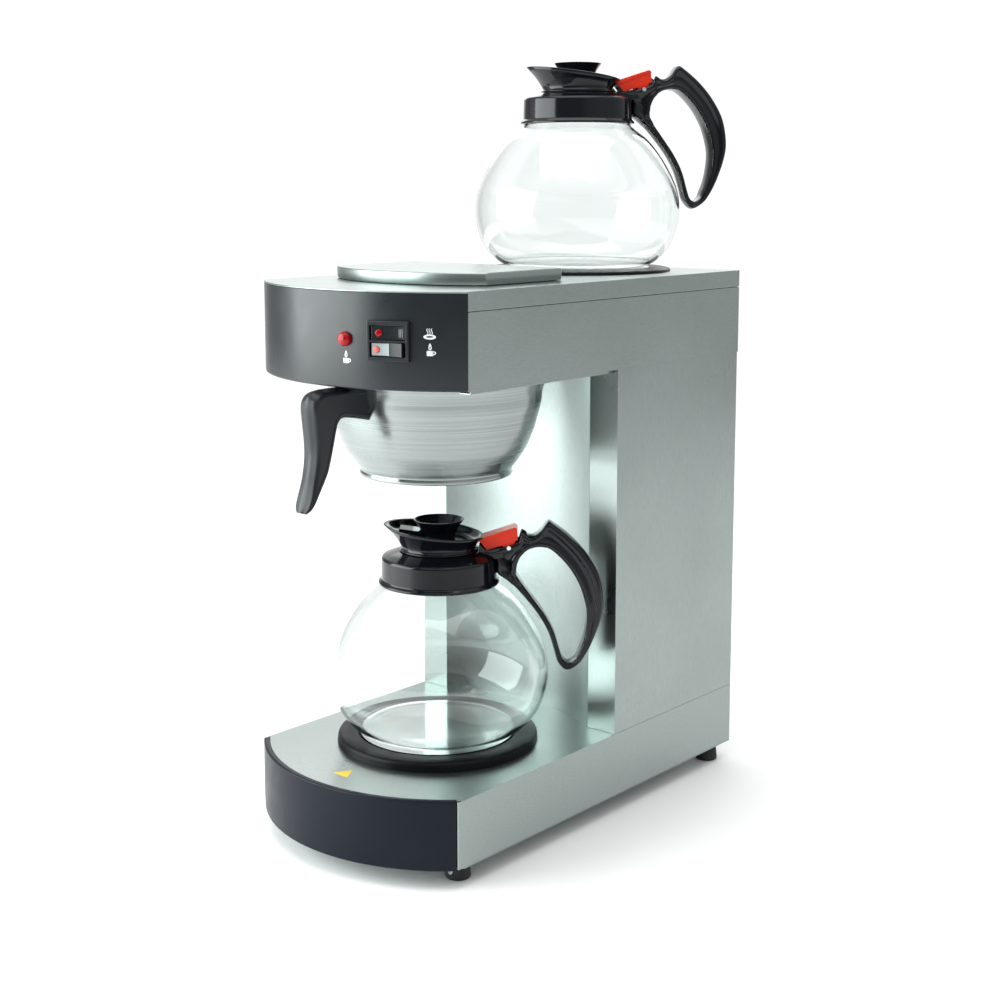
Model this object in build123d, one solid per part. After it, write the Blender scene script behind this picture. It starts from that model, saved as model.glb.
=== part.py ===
from build123d import *
import os
from math import cos, hypot, radians, sin, sqrt

# Pour-over coffee brewer with two glass carafes, in millimetres.
# Origin: centre of the footprint on the table. +X is the machine's right, -Y its front, +Z up.

# ---------- cabinet ----------
BODY_HALF = 101.5          # half width of the base and the column
HEAD_HALF = 102.5          # half width of the head, 1 mm proud of the column
REAR_Y = 192.5
BASE_CHORD_Y = -158.0      # where the base's straight sides end and the front arc starts
HEAD_CHORD_Y = -147.0
FRONT_BULGE = 40.0         # how far the front arc bulges ahead of its chord
SHEET = 1.2                # stainless sheet
FOOT_HEIGHT = 14.5
BASE_TOP = 65.0
HEAD_BOTTOM = 352.0
PLATE_Z = 358.0            # underside of the head's bottom plate, recessed in the head
SKIRT_Z = 406.0            # seam between the head and its top cover
HEAD_TOP = 420.0
COLUMN_FRONT_Y = 25.0
COVE_HALF = 75.0           # half width of the hollowed front of the column
COVE_DEPTH = 20.0
PANEL_WALL = 3.0           # moulded front panels
FASCIA_LIP = 4.8
FASCIA_RETURN = 7.0
BASE_INSET = 5.0           # the base's sheet parts stand this far inside its front arc

# ---------- warmers, basket and carafes ----------
LOWER = (0.0, -68.5)       # axis of the lower warmer and the brew basket
UPPER = (0.0, 104.0)       # axis of the upper warmer
LOWER_CARAFE = (0.0, -66.0)
WARMER_R = 77.5
DISC_R = 59.8
LOWER_RIM = 8.0
UPPER_RIM = 3.4
CARAFE_GAP = 0.4           # between a carafe's base and the rim under it
LOWER_HANDLE_DEG = 40.0    # directions of the carafe handles, from +X towards +Y
UPPER_HANDLE_DEG = 52.0
PIN_H = 53.5               # lid hinge pin, out from the carafe's axis and above its base
PIN_Z = 143.5
FLANGE_R = 91.0            # basket flange that rides on the rails
FLANGE_Z = 350.1
HANDLE_HALF = 8.3          # basket handle

# ---------- front panel ----------
SWITCH_DEG = 21.9          # angle round the head's front arc from straight ahead
LAMP_DEG = 8.9
SWITCH_Z = 386.0
ROCKER_PITCH = 11.4
ROCKER_HALF = 11.9
ROCKER_HEIGHT = 9.2
ROCKER_TILT = 7.0
ROCKER_PIVOT = -3.0        # pivot depth behind the panel's surface

# ---------- water path and supply ----------
HOSE_X = -72.0             # tank outlet and the hose below it
LEG_FRONT_Y = 90.0         # the heater's two legs
LEG_REAR_Y = 150.0
WATER_Z = 37.0             # height of the heater's water tube
RISER_X = -90.0
CORD_X = -60.0             # supply lead inlet
CORD_Z = 42.0
ELEMENT_R = 38.0           # warmer element ring
ELEMENT_SHEATH = 4.2
COLD_END_X = 12.0
SPRAY_STEM_R = 6.0
FILL_TUBE_Y = 80.0         # where the drain hose enters the tank


def face(*curves):
    """Planar face inside a closed chain of curves."""
    return Face(Wire([edge for curve in curves for edge in curve.edges()]))


def prism(outline, z0, z1):
    return extrude(Pos(0, 0, z0) * outline, amount=z1 - z0, dir=(0, 0, 1))


def block(x0, x1, y0, y1, z0, z1):
    return Pos((x0 + x1) / 2, (y0 + y1) / 2, (z0 + z1) / 2) * Box(x1 - x0, y1 - y0, z1 - z0)


def post(x, y, z0, z1, radius):
    return Pos(x, y, (z0 + z1) / 2) * Cylinder(radius, z1 - z0)


def ring(x, y, z0, z1, outer, inner):
    return post(x, y, z0, z1, outer) - post(x, y, z0, z1, inner)


def turned(*curves):
    """Solid of revolution about Z of a closed profile drawn in the XZ plane."""
    return revolve(face(*curves), axis=Axis.Z)


def rz(points):
    """Radius and height pairs as points of the XZ plane."""
    return [(r, 0, z) for r, z in points]


def tube(path, outer, inner):
    """Hollow pipe along a path."""
    start = Plane(path @ 0, z_dir=path % 0)
    solid = sweep(start * Circle(outer), path=path)
    return solid - sweep(start * Circle(inner), path=path)


def arc_of(half, chord_y):
    """Radius and centre of a front arc."""
    radius = (half**2 + FRONT_BULGE**2) / (2 * FRONT_BULGE)
    return radius, chord_y - FRONT_BULGE + radius


def plan(half, chord_y, side=0.0, front=0.0, rear=REAR_Y):
    """Plan with straight sides and a bulging front, moved in by side and front."""
    radius, centre = arc_of(half, chord_y)
    x = half - side
    y = centre - sqrt((radius - front) ** 2 - x**2)
    sides = Polyline((x, y), (x, rear), (-x, rear), (-x, y))
    return face(sides, ThreePointArc((-x, y), (0, centre - radius + front), (x, y)))


def front_band(half, chord_y, wall, z0, z1):
    """Curved wall that follows a front arc and stops just short of its chord."""
    radius, centre = arc_of(half, chord_y)
    band = ring(0, centre, z0, z1, radius, radius - wall)
    return band & block(-half + 0.2, half - 0.2, -2 * REAR_Y, chord_y - 0.2, z0, z1)


def panel_place(angle, z):
    """Location on the head's front arc: local +Z points out of the panel, local Y is up."""
    radius, centre = arc_of(HEAD_HALF, HEAD_CHORD_Y)
    a = radians(angle)
    origin = (radius * sin(a), centre - radius * cos(a), z)
    return Plane(origin, x_dir=(cos(a), sin(a), 0), z_dir=(sin(a), -cos(a), 0)).location


# ---------- base ----------
def base_shell():
    outline = plan(BODY_HALF, BASE_CHORD_Y, front=BASE_INSET)
    shell = prism(outline, FOOT_HEIGHT + SHEET, BASE_TOP)
    for side in (-1, 1):
        x0, x1 = sorted((side * (BODY_HALF - SHEET), side * BODY_HALF))
        front, back = BASE_CHORD_Y + 0.2, BASE_CHORD_Y + FASCIA_RETURN + 5
        shell += block(x0, x1, front, back, FOOT_HEIGHT + SHEET, BASE_TOP)
    inner = plan(BODY_HALF, BASE_CHORD_Y - 60, side=SHEET, rear=REAR_Y - SHEET)
    shell -= prism(inner, FOOT_HEIGHT, BASE_TOP - SHEET)
    shell -= post(*LOWER, 50, 80, DISC_R + 0.4)
    shell -= block(-85, 85, 50, 178, 50, 80)
    shell -= block(-98, -84, 80, 100, 50, 80)
    return shell - Pos(CORD_X, REAR_Y, CORD_Z) * Rot(90, 0, 0) * Cylinder(8, 20)


def base_front_fascia():
    """Curved black front between the shell's side walls, with a proud lip and a return at each end."""
    half, top = BODY_HALF - SHEET, BASE_TOP + 0.8
    z0 = FOOT_HEIGHT
    radius, centre = arc_of(BODY_HALF, BASE_CHORD_Y)
    wall = ring(0, centre, z0, top, radius, radius - FASCIA_LIP)
    wall &= block(-half + 0.1, half - 0.1, -2 * REAR_Y, BASE_CHORD_Y + FASCIA_RETURN, z0, top)
    hollow = post(0, centre, z0, BASE_TOP - 3, radius - PANEL_WALL)
    return wall - (hollow & block(-half + 6, half - 6, -2 * REAR_Y, 0, z0, top))


def base_bottom_plate():
    plate = prism(plan(BODY_HALF, BASE_CHORD_Y, front=BASE_INSET), FOOT_HEIGHT, FOOT_HEIGHT + SHEET)
    for x, y in FOOT_PLACES:
        plate -= post(x, y, 10, 20, 2.2)
    for y in (-40, -20, 0, 20):
        plate -= block(-30, 30, y - 2, y + 2, 10, 20)
    return plate


FOOT_PLACES = [(84, -144), (-84, -144), (88, 177), (-88, 177)]


def feet():
    pads = []
    for x, y in FOOT_PLACES:
        pad = Pos(x, y, FOOT_HEIGHT / 2) * Cone(8.5, 9.5, FOOT_HEIGHT)
        pad -= post(x, y, -1, 8, 4.5)
        pads.append(pad - post(x, y, 0, FOOT_HEIGHT + 1, 2.2))
    return Compound(pads)


def foot_screws():
    screws = []
    for x, y in FOOT_PLACES:
        head = post(x, y, 4.5, 8, 4.2)
        screws.append(head + post(x, y, 8, FOOT_HEIGHT + 8, 2.1))
    return Compound(screws)


# ---------- warmers ----------
def warmer_disc(place, seat, rim):
    top = seat + rim - 0.4
    disc = post(*place, top - 1.4, top, DISC_R)
    return disc + ring(*place, seat - 8, top - 1.4, DISC_R, DISC_R - 1.5)


def warmer_rim(place, seat, rim):
    inner, outer, top = DISC_R + 0.2, WARMER_R, seat + rim
    crown = ThreePointArc(
        (outer, 0, top - rim * 0.55), (outer - rim * 0.16, 0, top - rim * 0.16), (outer - rim * 0.55, 0, top)
    )
    edge = [(outer - rim * 0.55, top), (inner, top - 0.3), (inner, seat), (outer, seat)]
    rest = Polyline(*rz(edge + [(outer, top - rim * 0.55)]))
    return Pos(*place) * turned(crown, rest)


def warmer_element(place, seat, rim):
    """Sheathed ring element with two cold ends turned down."""
    top = seat + rim - 1.8
    sheath = Pos(*place, top - 4.3) * Torus(ELEMENT_R, ELEMENT_SHEATH)
    ends = [
        post(x, place[1] - sqrt(ELEMENT_R**2 - x**2), top - 22, top - 4.3, 3.2) - sheath
        for x in (-COLD_END_X, COLD_END_X)
    ]
    return Compound([sheath] + [end.solids()[0] for end in ends])


def element_clamp(place, seat, rim):
    """Pressed plate that holds the element up against the disc, on one stud with a nut."""
    top = seat + rim - 1.8
    plate = post(*place, top - 10, top - 8.6, 48)
    for x in (-COLD_END_X, COLD_END_X):
        y = place[1] - sqrt(ELEMENT_R**2 - x**2)
        plate -= post(x, y, top - 12, top, 4.5)
    stud = post(*place, top - 18, top, 3)
    nut = Pos(*place, top - 15) * extrude(RegularPolygon(6, 6), amount=5)
    return plate + stud + nut


# ---------- column ----------
def column_shell():
    """One bent sheet: two sides, front flanges beside the hollow and rear flanges."""
    z0, z1 = BASE_TOP, PLATE_Z
    walls = block(-BODY_HALF, BODY_HALF, COLUMN_FRONT_Y, REAR_Y, z0, z1)
    walls -= block(-BODY_HALF + SHEET, BODY_HALF - SHEET, COLUMN_FRONT_Y + SHEET, REAR_Y + 1, z0, z1)
    walls -= block(-COVE_HALF, COVE_HALF, 0, REAR_Y, z0, z1)
    for side in (-1, 1):
        x0, x1 = sorted((side * (BODY_HALF - SHEET), side * (BODY_HALF - 13)))
        walls += block(x0, x1, REAR_Y - 2 * SHEET, REAR_Y - SHEET, z0, z1)
        x0, x1 = sorted((side * (HEAD_HALF - SHEET - 0.1), side * HEAD_HALF))
        walls -= block(x0, x1, 0, REAR_Y + 1, HEAD_BOTTOM, z1)
    return walls - block(-BODY_HALF, BODY_HALF, REAR_Y - 2.5 * SHEET, REAR_Y + 1, HEAD_BOTTOM, z1)


def column_front_panel():
    """Sheet hollowed in one arc, so that the carafe nests in front of it."""
    radius = (COVE_HALF**2 + COVE_DEPTH**2) / (2 * COVE_DEPTH)
    centre = COLUMN_FRONT_Y + COVE_DEPTH - radius
    sheet = ring(0, centre, BASE_TOP, PLATE_Z, radius + 1, radius)
    return sheet & block(-COVE_HALF, COVE_HALF, COLUMN_FRONT_Y, REAR_Y, BASE_TOP, PLATE_Z)


def column_back_panel():
    half = BODY_HALF - 1.4
    panel = block(-half, half, REAR_Y - SHEET, REAR_Y, BASE_TOP + 0.4, HEAD_BOTTOM - 0.4)
    for row in range(6):
        z = 120 + 12 * row
        panel -= block(-40, 40, REAR_Y - 5, REAR_Y + 5, z, z + 3.5)
    for x, z in BACK_SCREWS:
        panel -= Pos(x, REAR_Y, z) * Rot(90, 0, 0) * Cylinder(2.0, 10)
    return panel


BACK_SCREWS = [(x, z) for x in (-94, 94) for z in (80, 208, 336)]


def back_panel_screws():
    screws = []
    for x, z in BACK_SCREWS:
        head = Pos(x, REAR_Y + 1, z) * Rot(90, 0, 0) * Cylinder(3.6, 2)
        shank = Pos(x, REAR_Y - SHEET / 2, z) * Rot(90, 0, 0) * Cylinder(1.9, SHEET)
        screws.append(head + shank)
    return Compound(screws)


# ---------- head ----------
def head_shell():
    """Sides and back of the head, with a lap strip inside the cover's seam."""
    outer = block(-HEAD_HALF, HEAD_HALF, HEAD_CHORD_Y, REAR_Y, HEAD_BOTTOM, SKIRT_Z)
    x, rear = HEAD_HALF - SHEET, REAR_Y - SHEET
    shell = outer - block(-x, x, -REAR_Y, rear, HEAD_BOTTOM - 1, SKIRT_Z + 1)
    lap = block(-x, x, HEAD_CHORD_Y + 6, rear, SKIRT_Z - 8, SKIRT_Z + 8)
    lap -= block(-x + SHEET, x - SHEET, -REAR_Y, rear - SHEET, SKIRT_Z - 9, SKIRT_Z + 9)
    return shell + lap


def head_front_panel():
    panel = front_band(HEAD_HALF, HEAD_CHORD_Y, PANEL_WALL, HEAD_BOTTOM, HEAD_TOP - SHEET)
    panel -= panel_place(SWITCH_DEG, SWITCH_Z) * Box(27.2, 24.2, 20)
    return panel - panel_place(LAMP_DEG, SWITCH_Z) * Cylinder(5.0, 20)


def head_bottom_plate():
    outline = plan(HEAD_HALF, HEAD_CHORD_Y, side=SHEET, front=PANEL_WALL, rear=60)
    plate = prism(outline, PLATE_Z, PLATE_Z + SHEET)
    return plate - post(*LOWER, 350, 365, SPRAY_STEM_R + 0.1)


def basket_rails():
    rails = []
    for side in (-1, 1):
        x_in, x_out = side * 86.5, side * 97
        y0, y1 = -139, 24
        ledge = block(*sorted((x_in, x_out)), y0, y1, FLANGE_Z - 1.2, FLANGE_Z - 0.2)
        web = block(*sorted((side * 96, x_out)), y0, y1, FLANGE_Z - 1.2, PLATE_Z)
        top = block(*sorted((side * 86, x_out)), y0, y1, PLATE_Z - 1, PLATE_Z)
        rails.append(ledge + web + top)
    return Compound(rails)


FILL = (62.0, -92.0, -30.0)    # half width, front and rear of the fill opening


def top_cover():
    outline = plan(HEAD_HALF, HEAD_CHORD_Y)
    sheet = prism(outline, HEAD_TOP - SHEET, HEAD_TOP)
    skirt = block(-HEAD_HALF, HEAD_HALF, HEAD_CHORD_Y, REAR_Y, SKIRT_Z + 0.4, HEAD_TOP - SHEET)
    x, rear = HEAD_HALF - SHEET, REAR_Y - SHEET
    skirt -= block(-x, x, -REAR_Y, rear, SKIRT_Z, HEAD_TOP)
    cover = sheet + skirt - post(*UPPER, 400, 430, DISC_R + 0.4)
    return cover - block(-FILL[0], FILL[0], FILL[1], FILL[2], 400, 430)


def fill_lid():
    """Shallow pressed lid: three straight sides and a bowed front."""
    lid = prism(lid_outline(0), HEAD_TOP + 0.3, HEAD_TOP + 9.5)
    lid = fillet(lid.faces().sort_by(Axis.Z)[-1].edges(), 1.6)
    return lid - prism(lid_outline(1.0), HEAD_TOP, HEAD_TOP + 8.5)


def lid_outline(inset):
    half, rear = 77 - inset, -9.5 - inset
    side_front, bow, corner = -98 + inset, -125 + inset, 10 - inset
    corners = face(
        Polyline((half, side_front), (half, rear), (-half, rear), (-half, side_front)),
        ThreePointArc((-half, side_front), (0, bow), (half, side_front)),
    )
    front = corners.vertices().group_by(Axis.Y)[0]
    rounded = corners.fillet_2d(corner, front)
    back = rounded.vertices().group_by(Axis.Y)[-1]
    return rounded.fillet_2d(4 - inset, back)


def fill_basin():
    """Tray under the lid, with a rim on the cover and a drain spigot at its rear."""
    half, front, rear = FILL[0] - 0.2, FILL[1] + 0.2, FILL[2] - 0.2
    tray = block(-half, half, front, rear, 392, HEAD_TOP)
    tray += block(-half - 6, half + 6, front - 6, rear + 6, HEAD_TOP, HEAD_TOP + 1)
    tray -= block(-half + 1, half - 1, front + 1, rear - 1, 393, HEAD_TOP + 2)
    tray += Pos(0, (rear - 8) / 2, 400) * Rot(90, 0, 0) * Cylinder(6, -8 - rear)
    return tray - Pos(0, -20, 400) * Rot(90, 0, 0) * Cylinder(4.5, 40)


# ---------- water path ----------
def drain_hose():
    path = FilletPolyline((0, -22, 400), (0, FILL_TUBE_Y, 400), (0, FILL_TUBE_Y, 349), radius=22)
    return tube(path, 8, 6)


def reservoir_tank():
    tank = block(-80, 80, 55, 175, 92, 345)
    tank = fillet(tank.edges().filter_by(Axis.Z), 12)
    hollow = block(-78, 78, 57, 173, 94, 350)
    hollow = fillet(hollow.edges().filter_by(Axis.Z), 10)
    return tank - hollow - post(HOSE_X, LEG_REAR_Y, 80, 100, 4)


def reservoir_lid():
    lid = block(-81, 81, 54, 176, 345, 348)
    lid = fillet(lid.edges().filter_by(Axis.Z), 12)
    lid += post(0, FILL_TUBE_Y, 348, 366, 6)
    return lid - post(0, FILL_TUBE_Y, 340, 370, 4.5)


def check_valve():
    x, y = HOSE_X, LEG_REAR_Y
    body = post(x, y, 74, 92, 9) + post(x, y, 92, 97, 4) + post(x, y, 62, 74, 5)
    return body - post(x, y, 60, 100, 2.5)


def heater_inlet_hose():
    x, y = HOSE_X, LEG_REAR_Y
    path = FilletPolyline((x, y, 74), (x, y, WATER_Z), (-44, y, WATER_Z), radius=14)
    return tube(path, 7, 5)


def flow_heater():
    """Cast aluminium heater bent in a U, with a water tube through it."""
    z0, z1 = 24, 50
    bend = ring(48, 120, z0, z1, 45, 15) & block(48, 100, 70, 170, z0, z1)
    legs = block(-30, 48, 75, 105, z0, z1) + block(-30, 48, 135, 165, z0, z1)
    body = bend + legs
    body += block(-10, 20, 105, 135, z0, z0 + 4)
    for y in (LEG_FRONT_Y, LEG_REAR_Y):
        body += Pos(-39, y, WATER_Z) * Rot(0, 90, 0) * Cylinder(5, 18)
        body -= Pos(-39, y, WATER_Z) * Rot(0, 90, 0) * Cylinder(3.5, 30)
    for x in (-5, 15):
        body += post(x, 120, FOOT_HEIGHT + SHEET, z0, 4)
    return body


def riser_tube():
    x, y, high = *LOWER, 380
    rear, side = LEG_FRONT_Y, RISER_X
    points = [(-40, rear, WATER_Z), (side, rear, WATER_Z), (side, rear, high)]
    path = FilletPolyline(*points, (side + 2, y, high), (x, y, high), (x, y, 365.5), radius=9)
    return tube(path, 6.8, 5)


def spray_head():
    """Disc with a ring of holes, hung by its stem from the head's bottom plate."""
    head = post(*LOWER, 352.4, 356, 38) + post(*LOWER, 356, PLATE_Z, 12)
    head += post(*LOWER, PLATE_Z, 365, SPRAY_STEM_R) + post(*LOWER, 365, 370, 4.9)
    head -= post(*LOWER, 354, 380, 3.5)
    for radius, count in ((12, 8), (22, 12), (32, 16)):
        for place in PolarLocations(radius, count):
            head -= Pos(*LOWER, 353) * place * Cylinder(1.1, 4)
    return head


def spray_nut():
    nut = Pos(*LOWER, PLATE_Z + SHEET) * extrude(RegularPolygon(10, 6), amount=5.2)
    return nut - post(*LOWER, 350, 370, SPRAY_STEM_R + 0.05)


def thermostat():
    return post(10, 90, 50, 58, 9) + block(1, 19, 87, 93, 58, 62)


def thermal_cutout():
    return post(10, 150, 50, 55, 7) + block(2, 18, 147, 153, 55, 59)


def terminal_block():
    body = block(-95, -84, 60, 130, FOOT_HEIGHT + SHEET, 30)
    for y in range(67, 130, 14):
        body -= Pos(-89.5, y, 30) * Cylinder(3, 10)
    return body


def cord_gland():
    """Inlet bush for the supply lead, in the base's rear wall."""
    bush = Pos(CORD_X, REAR_Y + 2.5, CORD_Z) * Rot(90, 0, 0) * Cylinder(12, 5)
    bush += Pos(CORD_X, REAR_Y - 4, CORD_Z) * Rot(90, 0, 0) * Cylinder(7.9, 8)
    nut = Pos(CORD_X, REAR_Y - SHEET, CORD_Z) * Rot(90, 0, 0) * extrude(RegularPolygon(12, 6), amount=5)
    return bush + nut - Pos(CORD_X, REAR_Y, CORD_Z) * Rot(90, 0, 0) * Cylinder(4.5, 40)


# ---------- switches and lamp ----------
def switch_bezel():
    """Raised frame round two rocker openings, seated on the curved panel."""
    radius, centre = arc_of(HEAD_HALF, HEAD_CHORD_Y)
    frame = Pos(0, 0, 1) * Box(30.5, 27.5, 5)
    frame = fillet(frame.faces().sort_by(Axis.Z)[-1].edges(), 0.8)
    place = panel_place(SWITCH_DEG, SWITCH_Z)
    bezel = place * frame - post(0, centre, 340, 430, radius)
    bezel += place * (Pos(0, 0, -3.6) * Box(26.8, 23.8, 8.8))
    for side in (-1, 1):
        bezel -= place * (Pos(0, side * ROCKER_PITCH / 2, 0) * Box(26, ROCKER_HEIGHT + 0.8, 30))
    return bezel


def rocker(side, tilt):
    """Dished rocker, one end pressed in."""
    half, deep = ROCKER_HALF, -7.2
    profile = face(
        Polyline((half, 3.4), (half, -3.5), (4, deep), (-4, deep), (-half, -3.5), (-half, 3.4)),
        ThreePointArc((-half, 3.4), (0, 1.9), (half, 3.4)),
    )
    solid = extrude(Plane.XZ * profile, amount=ROCKER_HEIGHT / 2, both=True)
    solid += Pos(0, 0, ROCKER_PIVOT) * Rot(90, 0, 0) * Cylinder(1.5, ROCKER_HEIGHT + 0.6)
    turn = Pos(0, 0, ROCKER_PIVOT) * Rot(0, tilt, 0) * Pos(0, 0, -ROCKER_PIVOT)
    return panel_place(SWITCH_DEG, SWITCH_Z + side * ROCKER_PITCH / 2) * turn * solid


def switch_bodies():
    place = panel_place(SWITCH_DEG, SWITCH_Z)
    bodies = []
    for side in (-1, 1):
        body = place * (Pos(0, side * ROCKER_PITCH / 2, -17) * Box(25, 10.4, 18))
        for x in (-8, 0, 8):
            body += place * (Pos(x, side * ROCKER_PITCH / 2, -29.5) * Box(4, 0.8, 7))
        bodies.append(body)
    return Compound(bodies)


def lamp_lens():
    place = panel_place(LAMP_DEG, SWITCH_Z)
    lens = place * (Pos(0, 0, 1.2) * Cylinder(5.6, 2.4))
    dome = place * (Pos(0, 0, 2.4) * Sphere(5.0)) & place * (Pos(0, 0, 5) * Box(20, 20, 5.2))
    radius, centre = arc_of(HEAD_HALF, HEAD_CHORD_Y)
    lens = lens + dome - post(0, centre, 340, 430, radius)
    return lens + place * (Pos(0, 0, -2) * Cylinder(4.9, 4.4))


def lamp_body():
    place = panel_place(LAMP_DEG, SWITCH_Z)
    body = place * (Pos(0, 0, -12.2) * Cylinder(4.9, 16))
    nut = place * (Pos(0, 0, -7.5) * (Cylinder(8, 3)))
    return body + nut


# ---------- brew basket ----------
BOWL = [
    (85.2, FLANGE_Z), (81.2, 340), (79.3, 328), (76.3, 316),
    (72.6, 304), (67.4, 293), (61.4, 284), (57.2, 278.6),
]


def bowl_profile(inset):
    """Wall of the bowl from the flange to the foot ring, moved in by inset."""
    return Spline(*rz([(r - inset, z) for r, z in BOWL]))


def brew_basket():
    """Spun bowl with a flange, a rolled foot ring and a drip outlet."""
    top = FLANGE_Z + 1.1
    outer = turned(bowl_profile(0), Polyline(*rz([BOWL[-1], (0, BOWL[-1][1]), (0, FLANGE_Z), BOWL[0]])))
    outer += post(0, 0, FLANGE_Z, top, FLANGE_R)
    outer += post(0, 0, 276, 278.7, 57.2)
    mouth = BOWL[0][0] - 1.3
    bottom = [(BOWL[-1][0] - 1.3, BOWL[-1][1]), (8, 277.2), (0, 277.2)]
    inner = turned(bowl_profile(1.3), Polyline(*rz(bottom + [(0, FLANGE_Z), (mouth, FLANGE_Z)])))
    bowl = outer - inner - post(0, 0, 349, 360, mouth)
    bowl += Pos(0, 0, 276) * Torus(56.4, 1.6) - post(0, 0, 270, 280, 55)
    bowl += post(0, 0, 271.5, 277.2, 6)
    return Pos(*LOWER) * (bowl - post(0, 0, 270, 285, 4))


def basket_envelope():
    """Everything inside the bowl's outer surface."""
    solid = turned(bowl_profile(0), Polyline(*rz([BOWL[-1], (0, BOWL[-1][1]), (0, FLANGE_Z), BOWL[0]])))
    return Pos(*LOWER) * (solid + post(0, 0, FLANGE_Z, 352, FLANGE_R))


def basket_screen():
    """Wire rack that keeps the paper filter off the bottom of the bowl."""
    rings = [Pos(*LOWER, 281.2) * Torus(radius, 1.0) for radius in (18, 32, 46)]
    rack = rings[0] + rings[1] + rings[2]
    for angle in (0, 60, 120):
        rack += Pos(*LOWER, 281.2) * Rot(0, 0, angle) * Rot(0, 90, 0) * Cylinder(1.0, 104)
    for angle in range(0, 360, 60):
        foot = Pos(*LOWER) * Rot(0, 0, angle) * Pos(46, 0, 280) * Cylinder(1.0, 2.4)
        rack += foot
    return rack


GRIP_FRONT = [(-200.8, 340), (-199.2, 322), (-198.4, 308), (-200, 294), (-205.2, 275), (-209.6, 264.4)]
GRIP_BACK = [
    (-206.4, 262.6), (-201.4, 268.5), (-194.6, 279), (-186, 295), (-181.4, 312), (-178.6, 323), (-170, 329),
]


def basket_handle():
    """Drop grip that leaves the bowl level and curves down in front of it."""
    outline = face(
        Line((-140, 349.6), (-192, 349.6)),
        ThreePointArc((-192, 349.6), (-198.6, 346.4), (-200.8, 340)),
        Spline(*GRIP_FRONT),
        ThreePointArc((-209.6, 264.4), (-208.8, 261.7), (-206.4, 262.6)),
        Spline(*GRIP_BACK),
        Polyline((-170, 329), (-140, 323), (-140, 349.6)),
    )
    grip = extrude(Plane.YZ * outline, amount=HANDLE_HALF, both=True)
    grip -= basket_envelope()
    for z in SCREW_Z:
        grip -= Pos(0, LOWER[1] - 88, z) * Rot(90, 0, 0) * Cylinder(2, 24)
    return grip


SCREW_Z = (331.0, 343.0)


def handle_screws():
    """Two screws from inside the bowl into the handle."""
    screws = []
    for z in SCREW_Z:
        shank = Pos(0, LOWER[1] - 88, z) * Rot(90, 0, 0) * Cylinder(1.95, 23)
        screws.append(shank - basket_envelope())
    return Compound([s for screw in screws for s in screw.solids()])


# ---------- carafes ----------
GLASS = [
    (56, 0), (66, 5), (74.5, 13.5), (80, 24), (83.3, 37), (84, 48), (82.4, 60), (78.8, 70),
    (73.2, 81), (65.8, 92.5), (57.6, 102.5), (49, 109.6), (43.4, 114.6), (41.5, 121),
]
GLASS_WALL = 2.0
NECK_TOP = 133.0


def inset_curve(points, wall):
    """Points moved square to a curve by wall, towards the axis."""
    moved = []
    for i, (r, z) in enumerate(points):
        r0, z0 = points[max(i - 1, 0)]
        r1, z1 = points[min(i + 1, len(points) - 1)]
        length = hypot(r1 - r0, z1 - z0)
        moved.append((r - wall * (z1 - z0) / length, z + wall * (r1 - r0) / length))
    return moved


def carafe_glass():
    """Blown globe with a flat base and a short straight neck."""
    inner = inset_curve(GLASS, GLASS_WALL)
    inner[0] = (GLASS[0][0] - GLASS_WALL, 2.6)
    neck = [GLASS[-1], (GLASS[-1][0], NECK_TOP), (inner[-1][0], NECK_TOP), inner[-1]]
    base = [inner[0], (0, inner[0][1]), (0, 0), GLASS[0]]
    return turned(
        Spline(*rz(GLASS)), Polyline(*rz(neck)), Spline(*rz(inner)), Polyline(*rz(base))
    )


COLLAR = [(46.5, 115.4), (46.5, 117), (44.4, 119), (44.0, 134.6), (43.0, 136), (31.5, 140.2), (27.4, 140.2)]


def carafe_collar():
    """Clamping band with a flared lower lip and a sloping shoulder round the mouth."""
    inside = [(27.4, 137.8), (41.7, 134.4), (41.7, 121), (44.6, 115.4)]
    return turned(Polyline(*rz(COLLAR + inside + COLLAR[:1])))


def collar_envelope():
    return turned(Polyline(*rz(COLLAR + [(0, 140.2), (0, 115.4), COLLAR[0]])))


def grip_outline():
    """Closed loop grip in the handle's own plane: out along X, up along Z."""
    strap = [(40, 121), (49, 119), (57, 112.6), (66.5, 102), (76, 89.5), (83, 77), (87.8, 62.5), (90.6, 53)]
    back = [
        (106.5, 50.5), (117.6, 68), (124, 85), (126.3, 100),
        (122.8, 120), (113.5, 137), (101.5, 150.8), (88, 161.6),
    ]
    saddle = [(88, 161.6), (82.5, 163.4), (77.6, 158.4), (72.6, 155), (67, 154.2)]
    bridge = [(67, 154.2), (60.5, 151.6), (36, 142.6), (33.8, 141.2), (33.8, 130), (40, 121)]
    down, up, peak = (0.25, 0, -1), (0.7, 0, 1), (-1, 0, 0.7)
    return face(
        Spline(*rz(strap), tangents=((1, 0, 0), down)),
        Spline(*rz([(90.6, 53), (97.6, 46), (106.5, 50.5)]), tangents=(down, up)),
        Spline(*rz(back), tangents=(up, peak)),
        Spline(*rz(saddle), tangents=(peak, (-1, 0, 0.05))),
        Polyline(*rz(bridge)),
    )


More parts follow.
